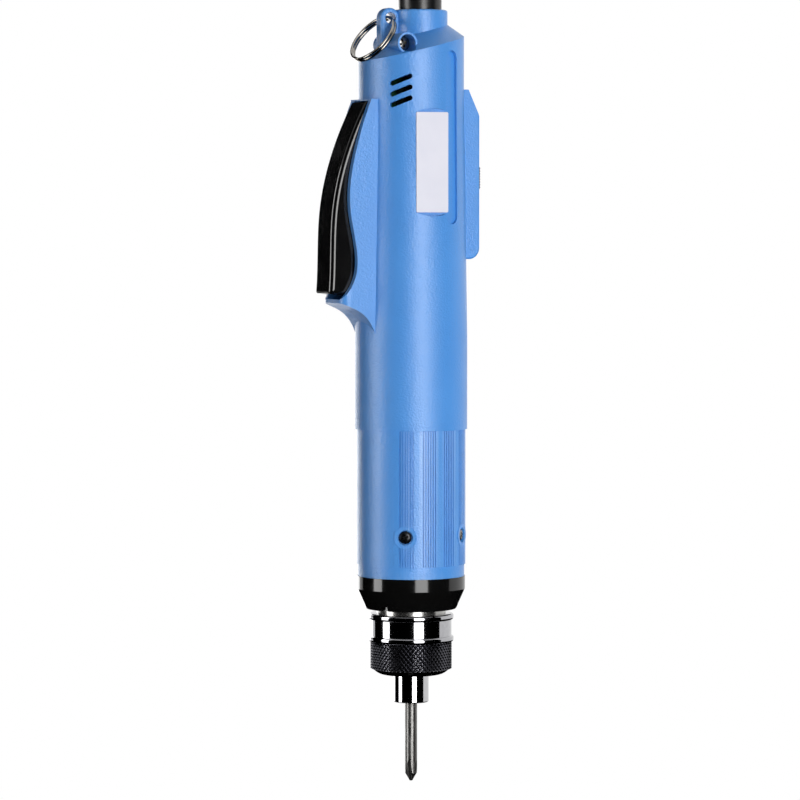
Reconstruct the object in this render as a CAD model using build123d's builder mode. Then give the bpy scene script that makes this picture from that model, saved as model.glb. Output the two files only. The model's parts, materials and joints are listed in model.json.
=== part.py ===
from build123d import *
import os
from math import cos, pi, radians, sin, sqrt

# An in-line electric screwdriver that hangs with its bit down and starts by its lever. Millimetres.
# +Z runs up the tool axis and Z = 0 is the nose of the chuck sleeve. The lever is towards -X, the switch
# pod towards +X, and the housing parts on the plane Y = 0. The shell with the label is the one towards -Y.

# Clearances
seat_gap = 0.1  # a piece that sits still in its bore
run_gap = 0.06  # a shaft or sleeve that turns or slides in its bore
side_gap = 0.35  # a moving piece past a still wall
face_gap = 0.05  # two faces that rest on each other and turn or slide

# Bit
bit_r = 2.0
bit_stickout = 26.5
bit_tail = 20.0
bit_flute_length = 7.0
bit_cone_length = 2.6
bit_point_r = 0.5
bit_flute_r = 1.15
bit_core_r = 0.35
bit_groove_r = 1.6
bit_groove_length = 2.4

# Chuck
spindle_wall = 2.16
sleeve_wall = 1.6
sleeve_show = 8.5
sleeve_hidden = 5.5
sleeve_edge = 0.35
keeper_thickness = 0.9
keeper_depth = 0.8
lock_ball_z = 5.6
chuck_spring_length = 5.2
chuck_spring_turns = 4
chuck_wire_r = 0.32
collar_thickness = 1.2
collar_width = 1.5

# Torque ring, from its underside upwards
ring_floor = 3.0
bowl_height = 2.8
bowl_r = 10.0
bowl_step = 1.2
knurl_height = 9.0
flange_height = 2.0
waist_height = 5.4
flange_lip = 0.65
ring_wall = 1.95

# Nose cap and clutch
nose_gap = 1.6
nose_taper_height = 6.7
nose_band_height = 4.3
nose_rim = 3.4
nose_lip = 2.4
nose_band_step = 0.3
nose_wall = 1.25
spanner_slots = 3
spanner_slot_width = 3.0
spanner_slot_depth = 1.3
spanner_slot_height = 1.6
neck_wall = 1.5
clutch_plate_r = 9.69
thrust_thickness = 1.5
clutch_wire_r = 1.05
clutch_turns = 5
driven_thickness = 3.0
driving_thickness = 3.3
clutch_ball_r = 1.6
clutch_balls_count = 3
clutch_face_gap = 1.2
clutch_headroom = 3.3
case_screw_r = 1.0
case_screw_head_r = 1.7
case_screw_head = 1.3
case_screw_length = 7.0
case_screws_count = 3

# Gear train: a sun pinion, three planets and a fixed ring gear
sun_teeth = 12
planet_teeth = 15
annulus_teeth = sun_teeth + 2 * planet_teeth
planets_count = 3
case_wall = 1.9
annulus_rim = 1.3
case_lip = 1.0
bearing_width = 5.0
bearing_r = 8.0
output_shaft_r = 4.0
carrier_room = 4.5
carrier_thickness = 2.8
carrier_rim = 2.4
gear_width = 6.0
gear_end_gap = 0.45
planet_pin_r = 1.2
washer_thickness = 1.0

# Motor
motor_shaft_r = 1.6
motor_wall = 1.5
motor_front = 5.0
motor_headroom = 2.0
motor_cap = 5.0
motor_bearing_r = 5.0
motor_bearing_width = 4.0
magnet_thickness = 2.4
magnet_overhang = 2.0
magnet_angle = 140.0
air_gap = 0.6
core_length = 42.0
core_slots = 5
core_slot_width = 2.4
core_slot_depth = 4.5
commutator_r = 4.6
commutator_length = 6.0
brush_width = 3.0
brush_length = 4.0

# Lower grip
grip_r = 18.07
grip_wall = 2.37
rib_depth = 0.37
grip_band_height = 4.0
grip_rib_height = 44.9
rib_groups = 5
ribs_per_group = 5
rib_group_angle = 24.4
rib_first_angle = 61.0
rib_pitch = 0.85
rib_groove = 0.42
spigot_height = 7.0
spigot_wall = 0.85
grip_screw_height = 13.9
grip_screw_angles = (60.0, 136.0)
grip_boss_r = 3.8
grip_pocket_r = 2.5
grip_pocket_depth = 1.25
grip_screw_head_r = 2.2
grip_screw_head = 1.1
grip_screw_r = 1.25
grip_screw_length = 2.4

# Upper housing
barrel_step = 0.6
barrel_wall = 1.97
clamp_height = 30.6
barrel_taper = 1.17
motor_rib = 2.0

# Fin and lever: heights are steps from the foot of the fin upwards, reaches are out from the barrel
fin_half = 8.4
fin_corner = 3.0
chin_step = 12.6
waist_step = 9.2
crest_step = 19.7
brow_step = 23.6
top_step = 13.3
fin_brow_reach = 4.9
fin_crest_reach = 6.7
fin_waist_reach = 4.5
chin_reach = 9.7
chin_lip = 1.2
fin_cap = 0.6
fin_root = 2.3
lever_width = 11.5
lever_proud_top = 0.6
lever_proud_brow = 2.1
lever_proud_crest = 5.2
lever_proud_waist = 8.2
lever_proud_chin = 3.4
lever_back = 4.4
lever_foot_rise = 1.6
lever_edge = 1.6
lever_angle = 4.2
lever_pin_r = 1.0
lever_pin_drop = 3.3
lever_pin_depth = 2.2
lever_pin_grip = 1.2
pocket_wall = 1.5
lever_spring_r = 2.0
lever_spring_wire_r = 0.22
lever_spring_turns = 5
lever_spring_socket = 5.0
lever_spring_drop = 33.0
magnet_r = 2.4
magnet_height = 2.5
magnet_drop = 46.0

# Switch pod and reversing knob
pod_reach = 3.4
pod_half = 6.75
pod_lift = 13.1
pod_length = 56.2
pod_slope_height = 9.2
pod_slope_in = 4.2
pod_corner = 3.7
pod_edge = 0.8
pod_wall = 2.0
knob_length = 7.2
knob_half = 3.0
knob_travel = 3.0
knob_proud = 0.35
knob_ridges = 8
knob_plate = 1.5
knob_plate_half = 4.3
knob_leg_half = 1.4
knob_leg_reach = 5.5
knob_lift = 27.0

# Label, vents and flute
label_width = 11.4
label_length = 32.8
label_thickness = 0.5
label_sink = 0.95
label_seat_bow = 1.2
label_lift = 45.0
vent_count = 3
vent_length = 8.0
vent_width = 1.7
vent_pitch = 3.55
vent_angle = 55.0
vent_tilt = 21.0
vent_lift = 2.6
flute_width = 5.5
flute_length = 57.0
flute_angle = 115.0
flute_depth = 0.9
flute_lean = 1.1

# Shoulder, neck, ear and cord gland
shoulder_rise = 17.0
shoulder_tilt = 14.0
neck_r = 9.1
neck_shift = 3.2
neck_lift = 5.8
neck_height = 6.9
neck_edge = 0.7
gland_r = 7.15
gland_height = 12.0
gland_spigot_r = 6.4
gland_spigot = 8.5
gland_bore_r = 2.8
gland_ring_depth = 0.5
ear_r = 3.4
ear_shift = 8.4
ear_thickness = 4.6
ear_rise = 2.9
ear_hole_r = 1.9
ear_edge = 0.9
head_room = 6.5
boss_shift = 7.3
boss_lift = 1.2
boss_r = 3.5
boss_depth = 13.6
shell_pocket_r = 2.85
shell_screw_seat = 6.5
shell_screw_head_r = 2.25
shell_screw_head = 2.0
shell_screw_r = 1.25
shell_screw_length = 12.0

# Hanging ring
hang_ring_r = 9.4
hang_wire_r = 0.5
hang_coil_offset = 0.45
hang_angle = 45.0
hang_twist = 15.0

# Electronics on the circuit board
board_thickness = 1.6
board_half = 10.4
board_y = 2.0
board_foot_gap = 6.0
board_head_gap = 3.0
post_r = 1.8
post_shift = 7.5
sensor_r = 1.1
sensor_length = 12.0
transistor = (9.0, 4.2, 12.0)
capacitor_r = 4.0
capacitor_length = 12.0
terminal = (9.0, 7.0, 8.0)
switch_width = 8.0
switch_depth = 5.5
switch_length = 15.0

# Radii worked out from the inside out
spindle_bore_r = bit_r + run_gap
spindle_r = spindle_bore_r + spindle_wall
sleeve_bore_r = spindle_r + run_gap
sleeve_r = sleeve_bore_r + sleeve_wall
neck_tube_bore = clutch_plate_r + side_gap
neck_tube_r = neck_tube_bore + neck_wall
thread_r = neck_tube_r + run_gap
knurl_r = thread_r + ring_wall
nose_mouth_r = thread_r + nose_rim
clutch_coil_r = clutch_plate_r - clutch_wire_r
grip_band_r = grip_r - rib_depth
grip_bore = grip_r - grip_wall
case_r = grip_bore - seat_gap
motor_r = case_r
magnet_length = core_length + 2 * magnet_overhang
nose_r = grip_band_r + nose_band_step
barrel_r = grip_r + barrel_step
barrel_top_r = barrel_r - barrel_taper
spigot_r = grip_bore + spigot_wall
socket_r = spigot_r + seat_gap
cavity_low_r = barrel_r - barrel_wall
cavity_top_r = barrel_top_r - barrel_wall
annulus_r = case_r - case_wall
gear_module = (annulus_r - seat_gap - annulus_rim) / (annulus_teeth / 2 + 1.15)
planet_orbit = gear_module * (sun_teeth + planet_teeth) / 2
carrier_r = planet_orbit + carrier_rim

# Heights worked out from the sleeve's nose upwards
sleeve_top = sleeve_show + sleeve_hidden
knurl_z = sleeve_show + bowl_height
flange_z = knurl_z + knurl_height
waist_z = flange_z + flange_height
top_flange_z = waist_z + waist_height
ring_top_z = top_flange_z + flange_height
thrust_z = sleeve_show + ring_floor + face_gap
thrust_top_z = thrust_z + thrust_thickness
neck_tube_z = thrust_top_z + side_gap
nose_z = ring_top_z + nose_gap
nose_band_z = nose_z + nose_taper_height
grip_z = nose_band_z + nose_band_height
driving_z = grip_z - clutch_headroom - driving_thickness
driven_z = driving_z - clutch_face_gap - driven_thickness
chuck_collar_z = sleeve_top + chuck_spring_length
bearing_z = grip_z + case_lip
bearing_top_z = bearing_z + bearing_width
annulus_z = bearing_top_z + carrier_room
carrier_z = annulus_z - gear_end_gap - carrier_thickness
gear_z = annulus_z + gear_end_gap / 2
annulus_top_z = gear_z + gear_width + gear_end_gap / 2
motor_z = annulus_top_z + washer_thickness + gear_end_gap
rib_z = grip_z + grip_band_height
barrel_z = rib_z + grip_rib_height
spigot_top_z = barrel_z + spigot_height
fin_z = barrel_z + clamp_height
chin_z = fin_z + chin_step
motor_top_z = chin_z - barrel_wall - motor_headroom
motor_back_z = motor_top_z - motor_cap
fin_waist_z = chin_z + waist_step
fin_crest_z = fin_waist_z + crest_step
fin_brow_z = fin_crest_z + brow_step
fin_top_z = fin_brow_z + top_step
shoulder_z = fin_top_z + shoulder_rise
neck_base_z = shoulder_z + neck_lift
neck_top_z = neck_base_z + neck_height
cavity_top_z = shoulder_z - head_room
pod_z = chin_z + pod_lift
pod_top_z = pod_z + pod_length
knob_z = pod_z + knob_lift
grip_screw_z = grip_z + grip_screw_height
ear_z = neck_top_z - ear_rise
boss_z = shoulder_z + boss_lift
lever_pivot_z = fin_top_z - fin_cap - lever_pin_drop
lever_pivot_x = -(barrel_top_r + lever_proud_top - lever_pin_depth)
lever_magnet_z = lever_pivot_z - magnet_drop
lever_spring_z = lever_pivot_z - lever_spring_drop
board_foot_z = motor_top_z + board_foot_gap
board_head_z = cavity_top_z - board_head_gap
board_back_y = board_y + board_thickness


def turn(*corners, shift=0.0, mode=Mode.ADD):
    """Turns a half section of (radius, height) corners round the tool axis, or one shifted towards +X."""
    with BuildSketch(Plane(origin=(shift, 0, 0), z_dir=(0, -1, 0), x_dir=(1, 0, 0))) as section_sketch:
        with BuildLine():
            Polyline(*corners, close=True)
        make_face()
    revolve(section_sketch.sketch, axis=Axis((shift, 0, 0), (0, 0, 1)), mode=mode)


def tube(outer_r, inner_r, low_z, high_z, mode=Mode.ADD):
    """Makes a plain tube or disc round the tool axis."""
    turn((inner_r, low_z), (outer_r, low_z), (outer_r, high_z), (inner_r, high_z), mode=mode)


def skin_plane(angle, radius, height):
    """A plane facing out from the tool axis: angle 0 faces -X and angle 90 faces -Y."""
    out = (-cos(radians(angle)), -sin(radians(angle)), 0)
    return Plane(
        origin=(out[0] * radius, out[1] * radius, height),
        x_dir=(-out[1], out[0], 0),
        z_dir=out,
    )


def gear_outline(teeth, module, root_drop, tip_rise, tooth_share, tip_share, phase=0.0):
    """The closed outline of a gear: each tooth has two root corners and two tip corners."""
    pitch_r = module * teeth / 2
    root_r = pitch_r - root_drop * module
    tip_r = pitch_r + tip_rise * module
    tooth_angle = 2 * pi / teeth
    corners = []
    for tooth in range(teeth):
        middle = (tooth + phase) * tooth_angle
        for radius, offset in (
            (root_r, -tooth_share / 2),
            (tip_r, -tip_share / 2),
            (tip_r, tip_share / 2),
            (root_r, tooth_share / 2),
        ):
            around = middle + offset * tooth_angle
            corners.append((radius * cos(around), radius * sin(around)))
    return corners


def save(piece, name):
    """Labels a finished piece and writes it."""
    piece.part.label = name
    export_step(piece.part, f"parts/{name}.step")


os.makedirs("parts", exist_ok=True)

# Bit: a round 4 mm shank with a cross point
with BuildPart() as bit:
    groove_low = lock_ball_z - bit_groove_length / 2
    groove_high = lock_ball_z + bit_groove_length / 2
    turn(
        (0, -bit_stickout),
        (bit_point_r, -bit_stickout),
        (bit_r, bit_cone_length - bit_stickout),
        (bit_r, groove_low),
        (bit_groove_r, groove_low + bit_r - bit_groove_r),
        (bit_groove_r, groove_high - bit_r + bit_groove_r),
        (bit_r, groove_high),
        (bit_r, bit_tail),
        (0, bit_tail),
    )
    # Four flutes that run out up the shank
    flute_foot_orbit = bit_flute_r + bit_core_r
    flute_rise = (bit_r + bit_flute_r - flute_foot_orbit) / bit_flute_length
    for quarter in range(4):
        out_x, out_y = cos(pi / 4 + quarter * pi / 2), sin(pi / 4 + quarter * pi / 2)
        foot = (flute_foot_orbit * out_x, flute_foot_orbit * out_y, -bit_stickout)
        with BuildSketch(Plane(origin=foot, z_dir=(flute_rise * out_x, flute_rise * out_y, 1))):
            Circle(bit_flute_r)
        extrude(amount=bit_flute_length * 1.2, mode=Mode.SUBTRACT)
        with BuildSketch(Plane(origin=foot, z_dir=(flute_rise * out_x, flute_rise * out_y, 1))):
            Circle(bit_flute_r)
        extrude(amount=-bit_cone_length, mode=Mode.SUBTRACT)

# Spindle: the hollow shaft that holds and turns the bit
with BuildPart() as spindle:
    tube(spindle_r, spindle_bore_r, keeper_thickness, driven_z + driven_thickness)
    turn(
        (0, bit_tail + run_gap),
        (spindle_bore_r, bit_tail + run_gap),
        (spindle_bore_r, driven_z + driven_thickness),
        (0, driven_z + driven_thickness),
    )
    tube(spindle_r / 2, 0, driven_z + driven_thickness, driving_z + driving_thickness / 3)
    # The groove of the sleeve's keeper ring
    tube(
        spindle_r,
        spindle_r - keeper_depth / 2,
        keeper_thickness * 1.5,
        keeper_thickness * 2.5 + face_gap,
        mode=Mode.SUBTRACT,
    )
    ball_r = (sleeve_bore_r - bit_groove_r) / 2 - face_gap
    ball_orbit = sleeve_bore_r - face_gap - ball_r
    with Locations((0, 0, lock_ball_z)):
        Cylinder(ball_r + face_gap, 2 * spindle_r + 1, rotation=(0, 90, 0), mode=Mode.SUBTRACT)

# Two lock balls hold the bit by its groove
with BuildPart() as lock_balls:
    with Locations((ball_orbit, 0, lock_ball_z), (-ball_orbit, 0, lock_ball_z)):
        Sphere(ball_r)

# Chuck sleeve: pushed up against its spring to free the bit
with BuildPart() as chuck_sleeve:
    tube(sleeve_r, sleeve_bore_r, 0, sleeve_top)
    keeper_room_r = spindle_r + keeper_depth / 2 + 2 * face_gap
    tube(keeper_room_r, 0, 0, keeper_thickness * 2.5 + face_gap, mode=Mode.SUBTRACT)
    chamfer(edges().filter_by(GeomType.CIRCLE).group_by(Axis.Z)[0].sort_by(SortBy.RADIUS)[-1], sleeve_edge)
    fillet(edges().filter_by(GeomType.CIRCLE).group_by(Axis.Z)[-1].sort_by(SortBy.RADIUS)[-1], sleeve_edge)

with BuildPart() as sleeve_keeper:
    tube(
        spindle_r + keeper_depth / 2,
        spindle_r - keeper_depth / 2 + face_gap,
        keeper_thickness * 1.5 + face_gap / 2,
        keeper_thickness * 2.5,
    )

# Chuck spring, between the sleeve and a collar on the spindle
with BuildPart() as chuck_spring:
    coil_r = spindle_r + 2 * run_gap + chuck_wire_r
    coil_rise = chuck_spring_length - 2 * chuck_wire_r - 2 * face_gap
    with BuildLine() as chuck_path:
        Helix(
            pitch=coil_rise / chuck_spring_turns,
            height=coil_rise,
            radius=coil_r,
            center=(0, 0, sleeve_top + chuck_wire_r + face_gap),
        )
    with BuildSketch(Plane(origin=chuck_path.line @ 0, z_dir=chuck_path.line % 0)):
        Circle(chuck_wire_r)
    sweep(is_frenet=True)

with BuildPart() as spring_collar:
    collar_top_z = chuck_collar_z + collar_thickness
    tube(spindle_r + collar_width, spindle_r + seat_gap / 2, chuck_collar_z, collar_top_z)

# Torque ring: a spool with a coarse thread inside, a knurled band and two flanges
with BuildPart() as torque_ring:
    with BuildSketch(Plane.XZ) as ring_section:
        with BuildLine():
            hole_r = sleeve_r + run_gap
            Polyline(
                (thread_r, ring_top_z),
                (thread_r, sleeve_show + ring_floor),
                (hole_r, sleeve_show + ring_floor),
                (hole_r, sleeve_show),
                (bowl_r - 2 * bowl_step, sleeve_show),
                (bowl_r, sleeve_show + bowl_step),
            )
            ThreePointArc(
                (bowl_r, sleeve_show + bowl_step),
                (knurl_r - bowl_step * 0.7, knurl_z - bowl_step * 0.75),
                (knurl_r, knurl_z),
            )
            Polyline(
                (knurl_r, knurl_z),
                (knurl_r, flange_z),
                (knurl_r + flange_lip, flange_z),
                (knurl_r + flange_lip, waist_z),
                (knurl_r, waist_z),
                (knurl_r, top_flange_z),
                (knurl_r + flange_lip, top_flange_z),
                (knurl_r + flange_lip, ring_top_z),
                (thread_r, ring_top_z),
            )
        make_face()
    revolve(axis=Axis.Z)
    flange_rims = edges().filter_by(GeomType.CIRCLE).group_by(SortBy.RADIUS)[-1]
    fillet(flange_rims, flange_height / 4)

# Thrust plate: rides on the torque ring's floor and carries the clutch spring
with BuildPart() as thrust_plate:
    tube(clutch_plate_r, sleeve_r + 2 * seat_gap, thrust_z, thrust_top_z)

with BuildPart() as clutch_spring:
    clutch_spring_low = thrust_top_z + clutch_wire_r + face_gap
    clutch_rise = driven_z - thrust_top_z - 2 * clutch_wire_r - 2 * face_gap
    with BuildLine() as clutch_path:
        Helix(
            pitch=clutch_rise / clutch_turns,
            height=clutch_rise,
            radius=clutch_coil_r,
            center=(0, 0, clutch_spring_low),
        )
    with BuildSketch(Plane(origin=clutch_path.line @ 0, z_dir=clutch_path.line % 0)):
        Circle(clutch_wire_r)
    sweep(is_frenet=True)

# Clutch plates and the balls between them
ball_seat_z = driving_z - clutch_face_gap / 2
ball_seat_orbit = (spindle_r + clutch_plate_r) / 2
with BuildPart() as driven_plate:
    tube(clutch_plate_r, spindle_r + seat_gap / 2, driven_z, driven_z + driven_thickness)
    with Locations(Plane.XY.offset(ball_seat_z)):
        with PolarLocations(ball_seat_orbit, clutch_balls_count):
            Sphere(clutch_ball_r + face_gap, mode=Mode.SUBTRACT)

with BuildPart() as driving_plate:
    tube(clutch_plate_r, spindle_r / 2 + run_gap, driving_z, driving_z + driving_thickness)
    tube(
        output_shaft_r + seat_gap / 2,
        0,
        driving_z + driving_thickness / 2,
        driving_z + driving_thickness,
        mode=Mode.SUBTRACT,
    )
    with Locations(Plane.XY.offset(ball_seat_z)):
        with PolarLocations(ball_seat_orbit, clutch_balls_count):
            Sphere(clutch_ball_r + face_gap, mode=Mode.SUBTRACT)

with BuildPart() as clutch_balls:
    with Locations(Plane.XY.offset(ball_seat_z)):
        with PolarLocations(ball_seat_orbit, clutch_balls_count):
            Sphere(clutch_ball_r)

# Clutch case: the tube that the torque ring is screwed on, with its flange under the gear case
clutch_flange_r = nose_mouth_r - nose_wall
clutch_flange_z = nose_z + nose_lip
case_screw_orbit = (neck_tube_bore + clutch_flange_r) / 2
with BuildPart() as clutch_case:
    turn(
        (neck_tube_bore, neck_tube_z),
        (neck_tube_r, neck_tube_z),
        (neck_tube_r, clutch_flange_z),
        (clutch_flange_r, clutch_flange_z),
        (clutch_flange_r, grip_z),
        (neck_tube_bore, grip_z),
    )
    with BuildSketch(Plane.XY.offset(clutch_flange_z)):
        with PolarLocations(case_screw_orbit, case_screws_count, start_angle=90):
            Circle(case_screw_head_r + seat_gap / 2)
    extrude(amount=case_screw_head + seat_gap, mode=Mode.SUBTRACT)
    with BuildSketch(Plane.XY.offset(clutch_flange_z)):
        with PolarLocations(case_screw_orbit, case_screws_count, start_angle=90):
            Circle(case_screw_r + seat_gap / 2)
    extrude(amount=grip_z - clutch_flange_z, mode=Mode.SUBTRACT)

case_screw_seat_z = clutch_flange_z + case_screw_head + seat_gap
case_screw_end_z = grip_z + case_screw_length / 2
with BuildPart() as clutch_case_screws:
    with BuildSketch(Plane.XY.offset(case_screw_seat_z - case_screw_head)):
        with PolarLocations(case_screw_orbit, case_screws_count, start_angle=90):
            Circle(case_screw_head_r)
    extrude(amount=case_screw_head)
    with BuildSketch(Plane.XY.offset(case_screw_seat_z)):
        with PolarLocations(case_screw_orbit, case_screws_count, start_angle=90):
            Circle(case_screw_r)
    extrude(amount=case_screw_end_z - case_screw_seat_z)

# Nose cap: a tapered collar screwed up against the grip, with spanner slots in its mouth
with BuildPart() as nose_cap:
    turn(
        (thread_r + side_gap, nose_z),
        (nose_mouth_r, nose_z),
        (nose_r, nose_band_z),
        (nose_r, grip_z),
        (clutch_flange_r + seat_gap, grip_z),
        (clutch_flange_r + seat_gap, clutch_flange_z),
        (thread_r + side_gap, clutch_flange_z),
    )
    shoulder_rims = edges().filter_by(GeomType.CIRCLE).group_by(SortBy.RADIUS)[-1]
    fillet(shoulder_rims.sort_by(Axis.Z)[0], nose_wall / 2)
    fillet(edges().filter_by(GeomType.CIRCLE).group_by(Axis.Z)[0].sort_by(SortBy.RADIUS)[-1], nose_wall / 3)
    with BuildSketch(Plane.XY.offset(nose_z)):
        with PolarLocations(nose_mouth_r, spanner_slots, start_angle=90):
            Rectangle(2 * spanner_slot_depth, spanner_slot_width)
    extrude(amount=spanner_slot_height, mode=Mode.SUBTRACT)

# Gear case, inside the lower grip
with BuildPart() as gear_case:
    turn(
        (bearing_r - case_lip, grip_z),
        (case_r, grip_z),
        (case_r, motor_z),
        (annulus_r, motor_z),
        (annulus_r, annulus_z),
        (carrier_r + side_gap, annulus_z),
        (carrier_r + side_gap, bearing_top_z),
        (bearing_r + seat_gap / 2, bearing_top_z),
        (bearing_r + seat_gap / 2, bearing_z),
        (bearing_r - case_lip, bearing_z),
    )
    with BuildSketch(Plane.XY.offset(grip_z)):
        with PolarLocations(case_screw_orbit, case_screws_count, start_angle=90):
            Circle(case_screw_r + seat_gap / 2)
    extrude(amount=case_screw_length / 2 + seat_gap, mode=Mode.SUBTRACT)
    for side in (1, -1):
        for angle in grip_screw_angles:
            with BuildSketch(skin_plane(side * angle, annulus_r - case_wall / 2, grip_screw_z)):
                Circle(grip_screw_r + seat_gap / 2)
            extrude(amount=2 * case_wall, mode=Mode.SUBTRACT)

# Output bearing
with BuildPart() as output_bearing:
    tube(bearing_r, output_shaft_r + seat_gap / 2, bearing_z, bearing_top_z)

# Ring gear, fixed in the gear case
with BuildPart() as ring_gear:
    with BuildSketch(Plane.XY.offset(annulus_z)):
        Circle(annulus_r - seat_gap)
        with BuildLine():
            Polyline(*gear_outline(annulus_teeth, gear_module, 0.85, 1.15, 0.76, 0.42), close=True)
        make_face(mode=Mode.SUBTRACT)
    extrude(amount=annulus_top_z - annulus_z)

# Carrier with its output shaft
with BuildPart() as carrier:
    tube(output_shaft_r, 0, driving_z + driving_thickness / 2 + face_gap, carrier_z)
    tube(carrier_r, 0, carrier_z, carrier_z + carrier_thickness)
    with BuildSketch(Plane.XY.offset(carrier_z)):
        with PolarLocations(planet_orbit, planets_count):
            Circle(planet_pin_r + seat_gap / 10)
    extrude(amount=carrier_thickness, mode=Mode.SUBTRACT)

with BuildPart() as planet_pins:
    with BuildSketch(Plane.XY.offset(carrier_z)):
        with PolarLocations(planet_orbit, planets_count):
            Circle(planet_pin_r)
    extrude(amount=gear_z + gear_width - carrier_z)

# Planet gears: each has a gap facing the pinion and a tooth facing the ring gear
planet_gears = []
for number in range(planets_count):
    turned = 360 / planets_count * number
    place = Plane(
        origin=(planet_orbit * cos(radians(turned)), planet_orbit * sin(radians(turned)), gear_z),
        x_dir=(cos(radians(turned)), sin(radians(turned)), 0),
        z_dir=(0, 0, 1),
    )
    with BuildPart() as planet_gear:
        with BuildSketch(place):
            with BuildLine():
                Polyline(*gear_outline(planet_teeth, gear_module, 1.15, 0.85, 0.6, 0.24), close=True)
            make_face()
            Circle(planet_pin_r + run_gap, mode=Mode.SUBTRACT)
        extrude(amount=gear_width)
    planet_gears.append(planet_gear)

with BuildPart() as planet_washer:
    tube(annulus_r - seat_gap, motor_bearing_r, annulus_top_z + face_gap, annulus_top_z + washer_thickness)

# Motor: shaft with pinion, core and commutator, turning in two bearings inside the can
pinion_top_z = gear_z + gear_width + washer_thickness / 2
core_z = motor_z + motor_front + motor_wall + magnet_overhang
core_r = motor_r - motor_wall - seat_gap - magnet_thickness - air_gap
commutator_z = core_z + core_length + 2 * face_gap
with BuildPart() as pinion:
    with BuildSketch(Plane.XY.offset(gear_z)):
        with BuildLine():
            Polyline(*gear_outline(sun_teeth, gear_module, 1.15, 0.85, 0.6, 0.24), close=True)
        make_face()
        Circle(motor_shaft_r + seat_gap / 10, mode=Mode.SUBTRACT)
    extrude(amount=pinion_top_z - gear_z)

with BuildPart() as rotor:
    tube(motor_shaft_r, 0, gear_z, motor_top_z)
    with BuildSketch(Plane.XY.offset(core_z)):
        Circle(core_r)
        with PolarLocations(core_r, core_slots):
            Rectangle(2 * core_slot_depth, core_slot_width, mode=Mode.SUBTRACT)
    extrude(amount=core_length)

with BuildPart() as commutator:
    tube(commutator_r, motor_shaft_r + seat_gap / 10, commutator_z, commutator_z + commutator_length)

with BuildPart() as motor_can:
    turn(
        (motor_bearing_r - case_lip, motor_z),
        (motor_r, motor_z),
        (motor_r, motor_back_z),
        (motor_r - motor_wall, motor_back_z),
        (motor_r - motor_wall, motor_z + motor_front),
        (motor_bearing_r + seat_gap / 2, motor_z + motor_front),
        (motor_bearing_r + seat_gap / 2, motor_z + case_lip),
        (motor_bearing_r - case_lip, motor_z + case_lip),
    )

with BuildPart() as front_bearing:
    tube(
        motor_bearing_r,
        motor_shaft_r + seat_gap / 10,
        motor_z + case_lip,
        motor_z + case_lip + motor_bearing_width,
    )

with BuildPart() as motor_magnets:
    magnet_z = motor_z + motor_front + motor_wall
    magnet_out = motor_r - motor_wall - seat_gap
    for facing in (0, 180):
        with BuildSketch(Plane.XZ.rotated((0, 0, facing - magnet_angle / 2))):
            with Locations((magnet_out - magnet_thickness / 2, magnet_z + magnet_length / 2)):
                Rectangle(magnet_thickness, magnet_length)
        revolve(axis=Axis.Z, revolution_arc=magnet_angle)

with BuildPart() as motor_end_cap:
    tube(motor_r, motor_bearing_r + seat_gap / 2, motor_back_z, motor_top_z)

with BuildPart() as rear_bearing:
    tube(motor_bearing_r, motor_shaft_r + seat_gap / 10, motor_back_z + case_lip, motor_top_z)

# Two carbon brushes, one each side of the commutator, in holders on the can
with BuildPart() as brushes:
    brush_in = commutator_r + face_gap
    brush_reach = motor_r - motor_wall - seat_gap - brush_in
    for facing in (1, -1):
        with Locations((0, facing * (brush_in + brush_reach / 2), commutator_z + commutator_length / 2)):
            Box(brush_width, brush_reach, brush_length)

# Lower grip: ribbed in groups, with a spigot that enters the upper housing
with BuildPart() as grip_body:
    turn(
        (grip_bore, grip_z),
        (grip_band_r, grip_z),
        (grip_band_r, rib_z),
        (grip_r, rib_z),
        (grip_r, barrel_z),
        (spigot_r, barrel_z),
        (spigot_r, spigot_top_z),
        (grip_bore, spigot_top_z),
    )
    rib_pitch_angle = rib_pitch / grip_r * 180 / pi
    with BuildSketch(Plane.XY.offset(rib_z)):
        for group in range(rib_groups):
            for groove in range(ribs_per_group + 1):
                spread = (groove - ribs_per_group / 2) * rib_pitch_angle
                angle = 180 + rib_first_angle + group * rib_group_angle + spread
                for side in (1, -1):
                    with PolarLocations(grip_r, 1, start_angle=side * angle):
                        Rectangle(2 * rib_depth, rib_groove)
    extrude(amount=grip_rib_height, mode=Mode.SUBTRACT)
    for side in (1, -1):
        for angle in grip_screw_angles:
            with BuildSketch(skin_plane(side * angle, grip_bore + seat_gap, grip_screw_z)):
                Circle(grip_boss_r)
            extrude(amount=grip_wall - 2 * seat_gap)
    for side in (1, -1):
        for angle in grip_screw_angles:
            with BuildSketch(skin_plane(side * angle, grip_r - grip_pocket_depth, grip_screw_z)):
                Circle(grip_pocket_r)
            extrude(amount=2 * grip_pocket_depth, mode=Mode.SUBTRACT)
            with BuildSketch(skin_plane(side * angle, grip_bore - grip_wall, grip_screw_z)):
                Circle(grip_screw_r + seat_gap / 2)
            extrude(amount=2 * grip_wall, mode=Mode.SUBTRACT)

with BuildPart() as right_grip:
    add(grip_body.part)
    split(bisect_by=Plane.XZ, keep=Keep.TOP)

with BuildPart() as left_grip:
    add(grip_body.part)
    split(bisect_by=Plane.XZ, keep=Keep.BOTTOM)

# Radial screws that hold the grip halves to the gear case
with BuildPart() as grip_screws:
    for side in (1, -1):
        for angle in grip_screw_angles:
            seat_r = grip_r - grip_pocket_depth
            with BuildSketch(skin_plane(side * angle, seat_r, grip_screw_z)):
                Circle(grip_screw_head_r)
            extrude(amount=grip_screw_head, taper=12)
            with BuildSketch(skin_plane(side * angle, seat_r - grip_screw_length, grip_screw_z)):
                Circle(grip_screw_r)
            extrude(amount=grip_screw_length)

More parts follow.
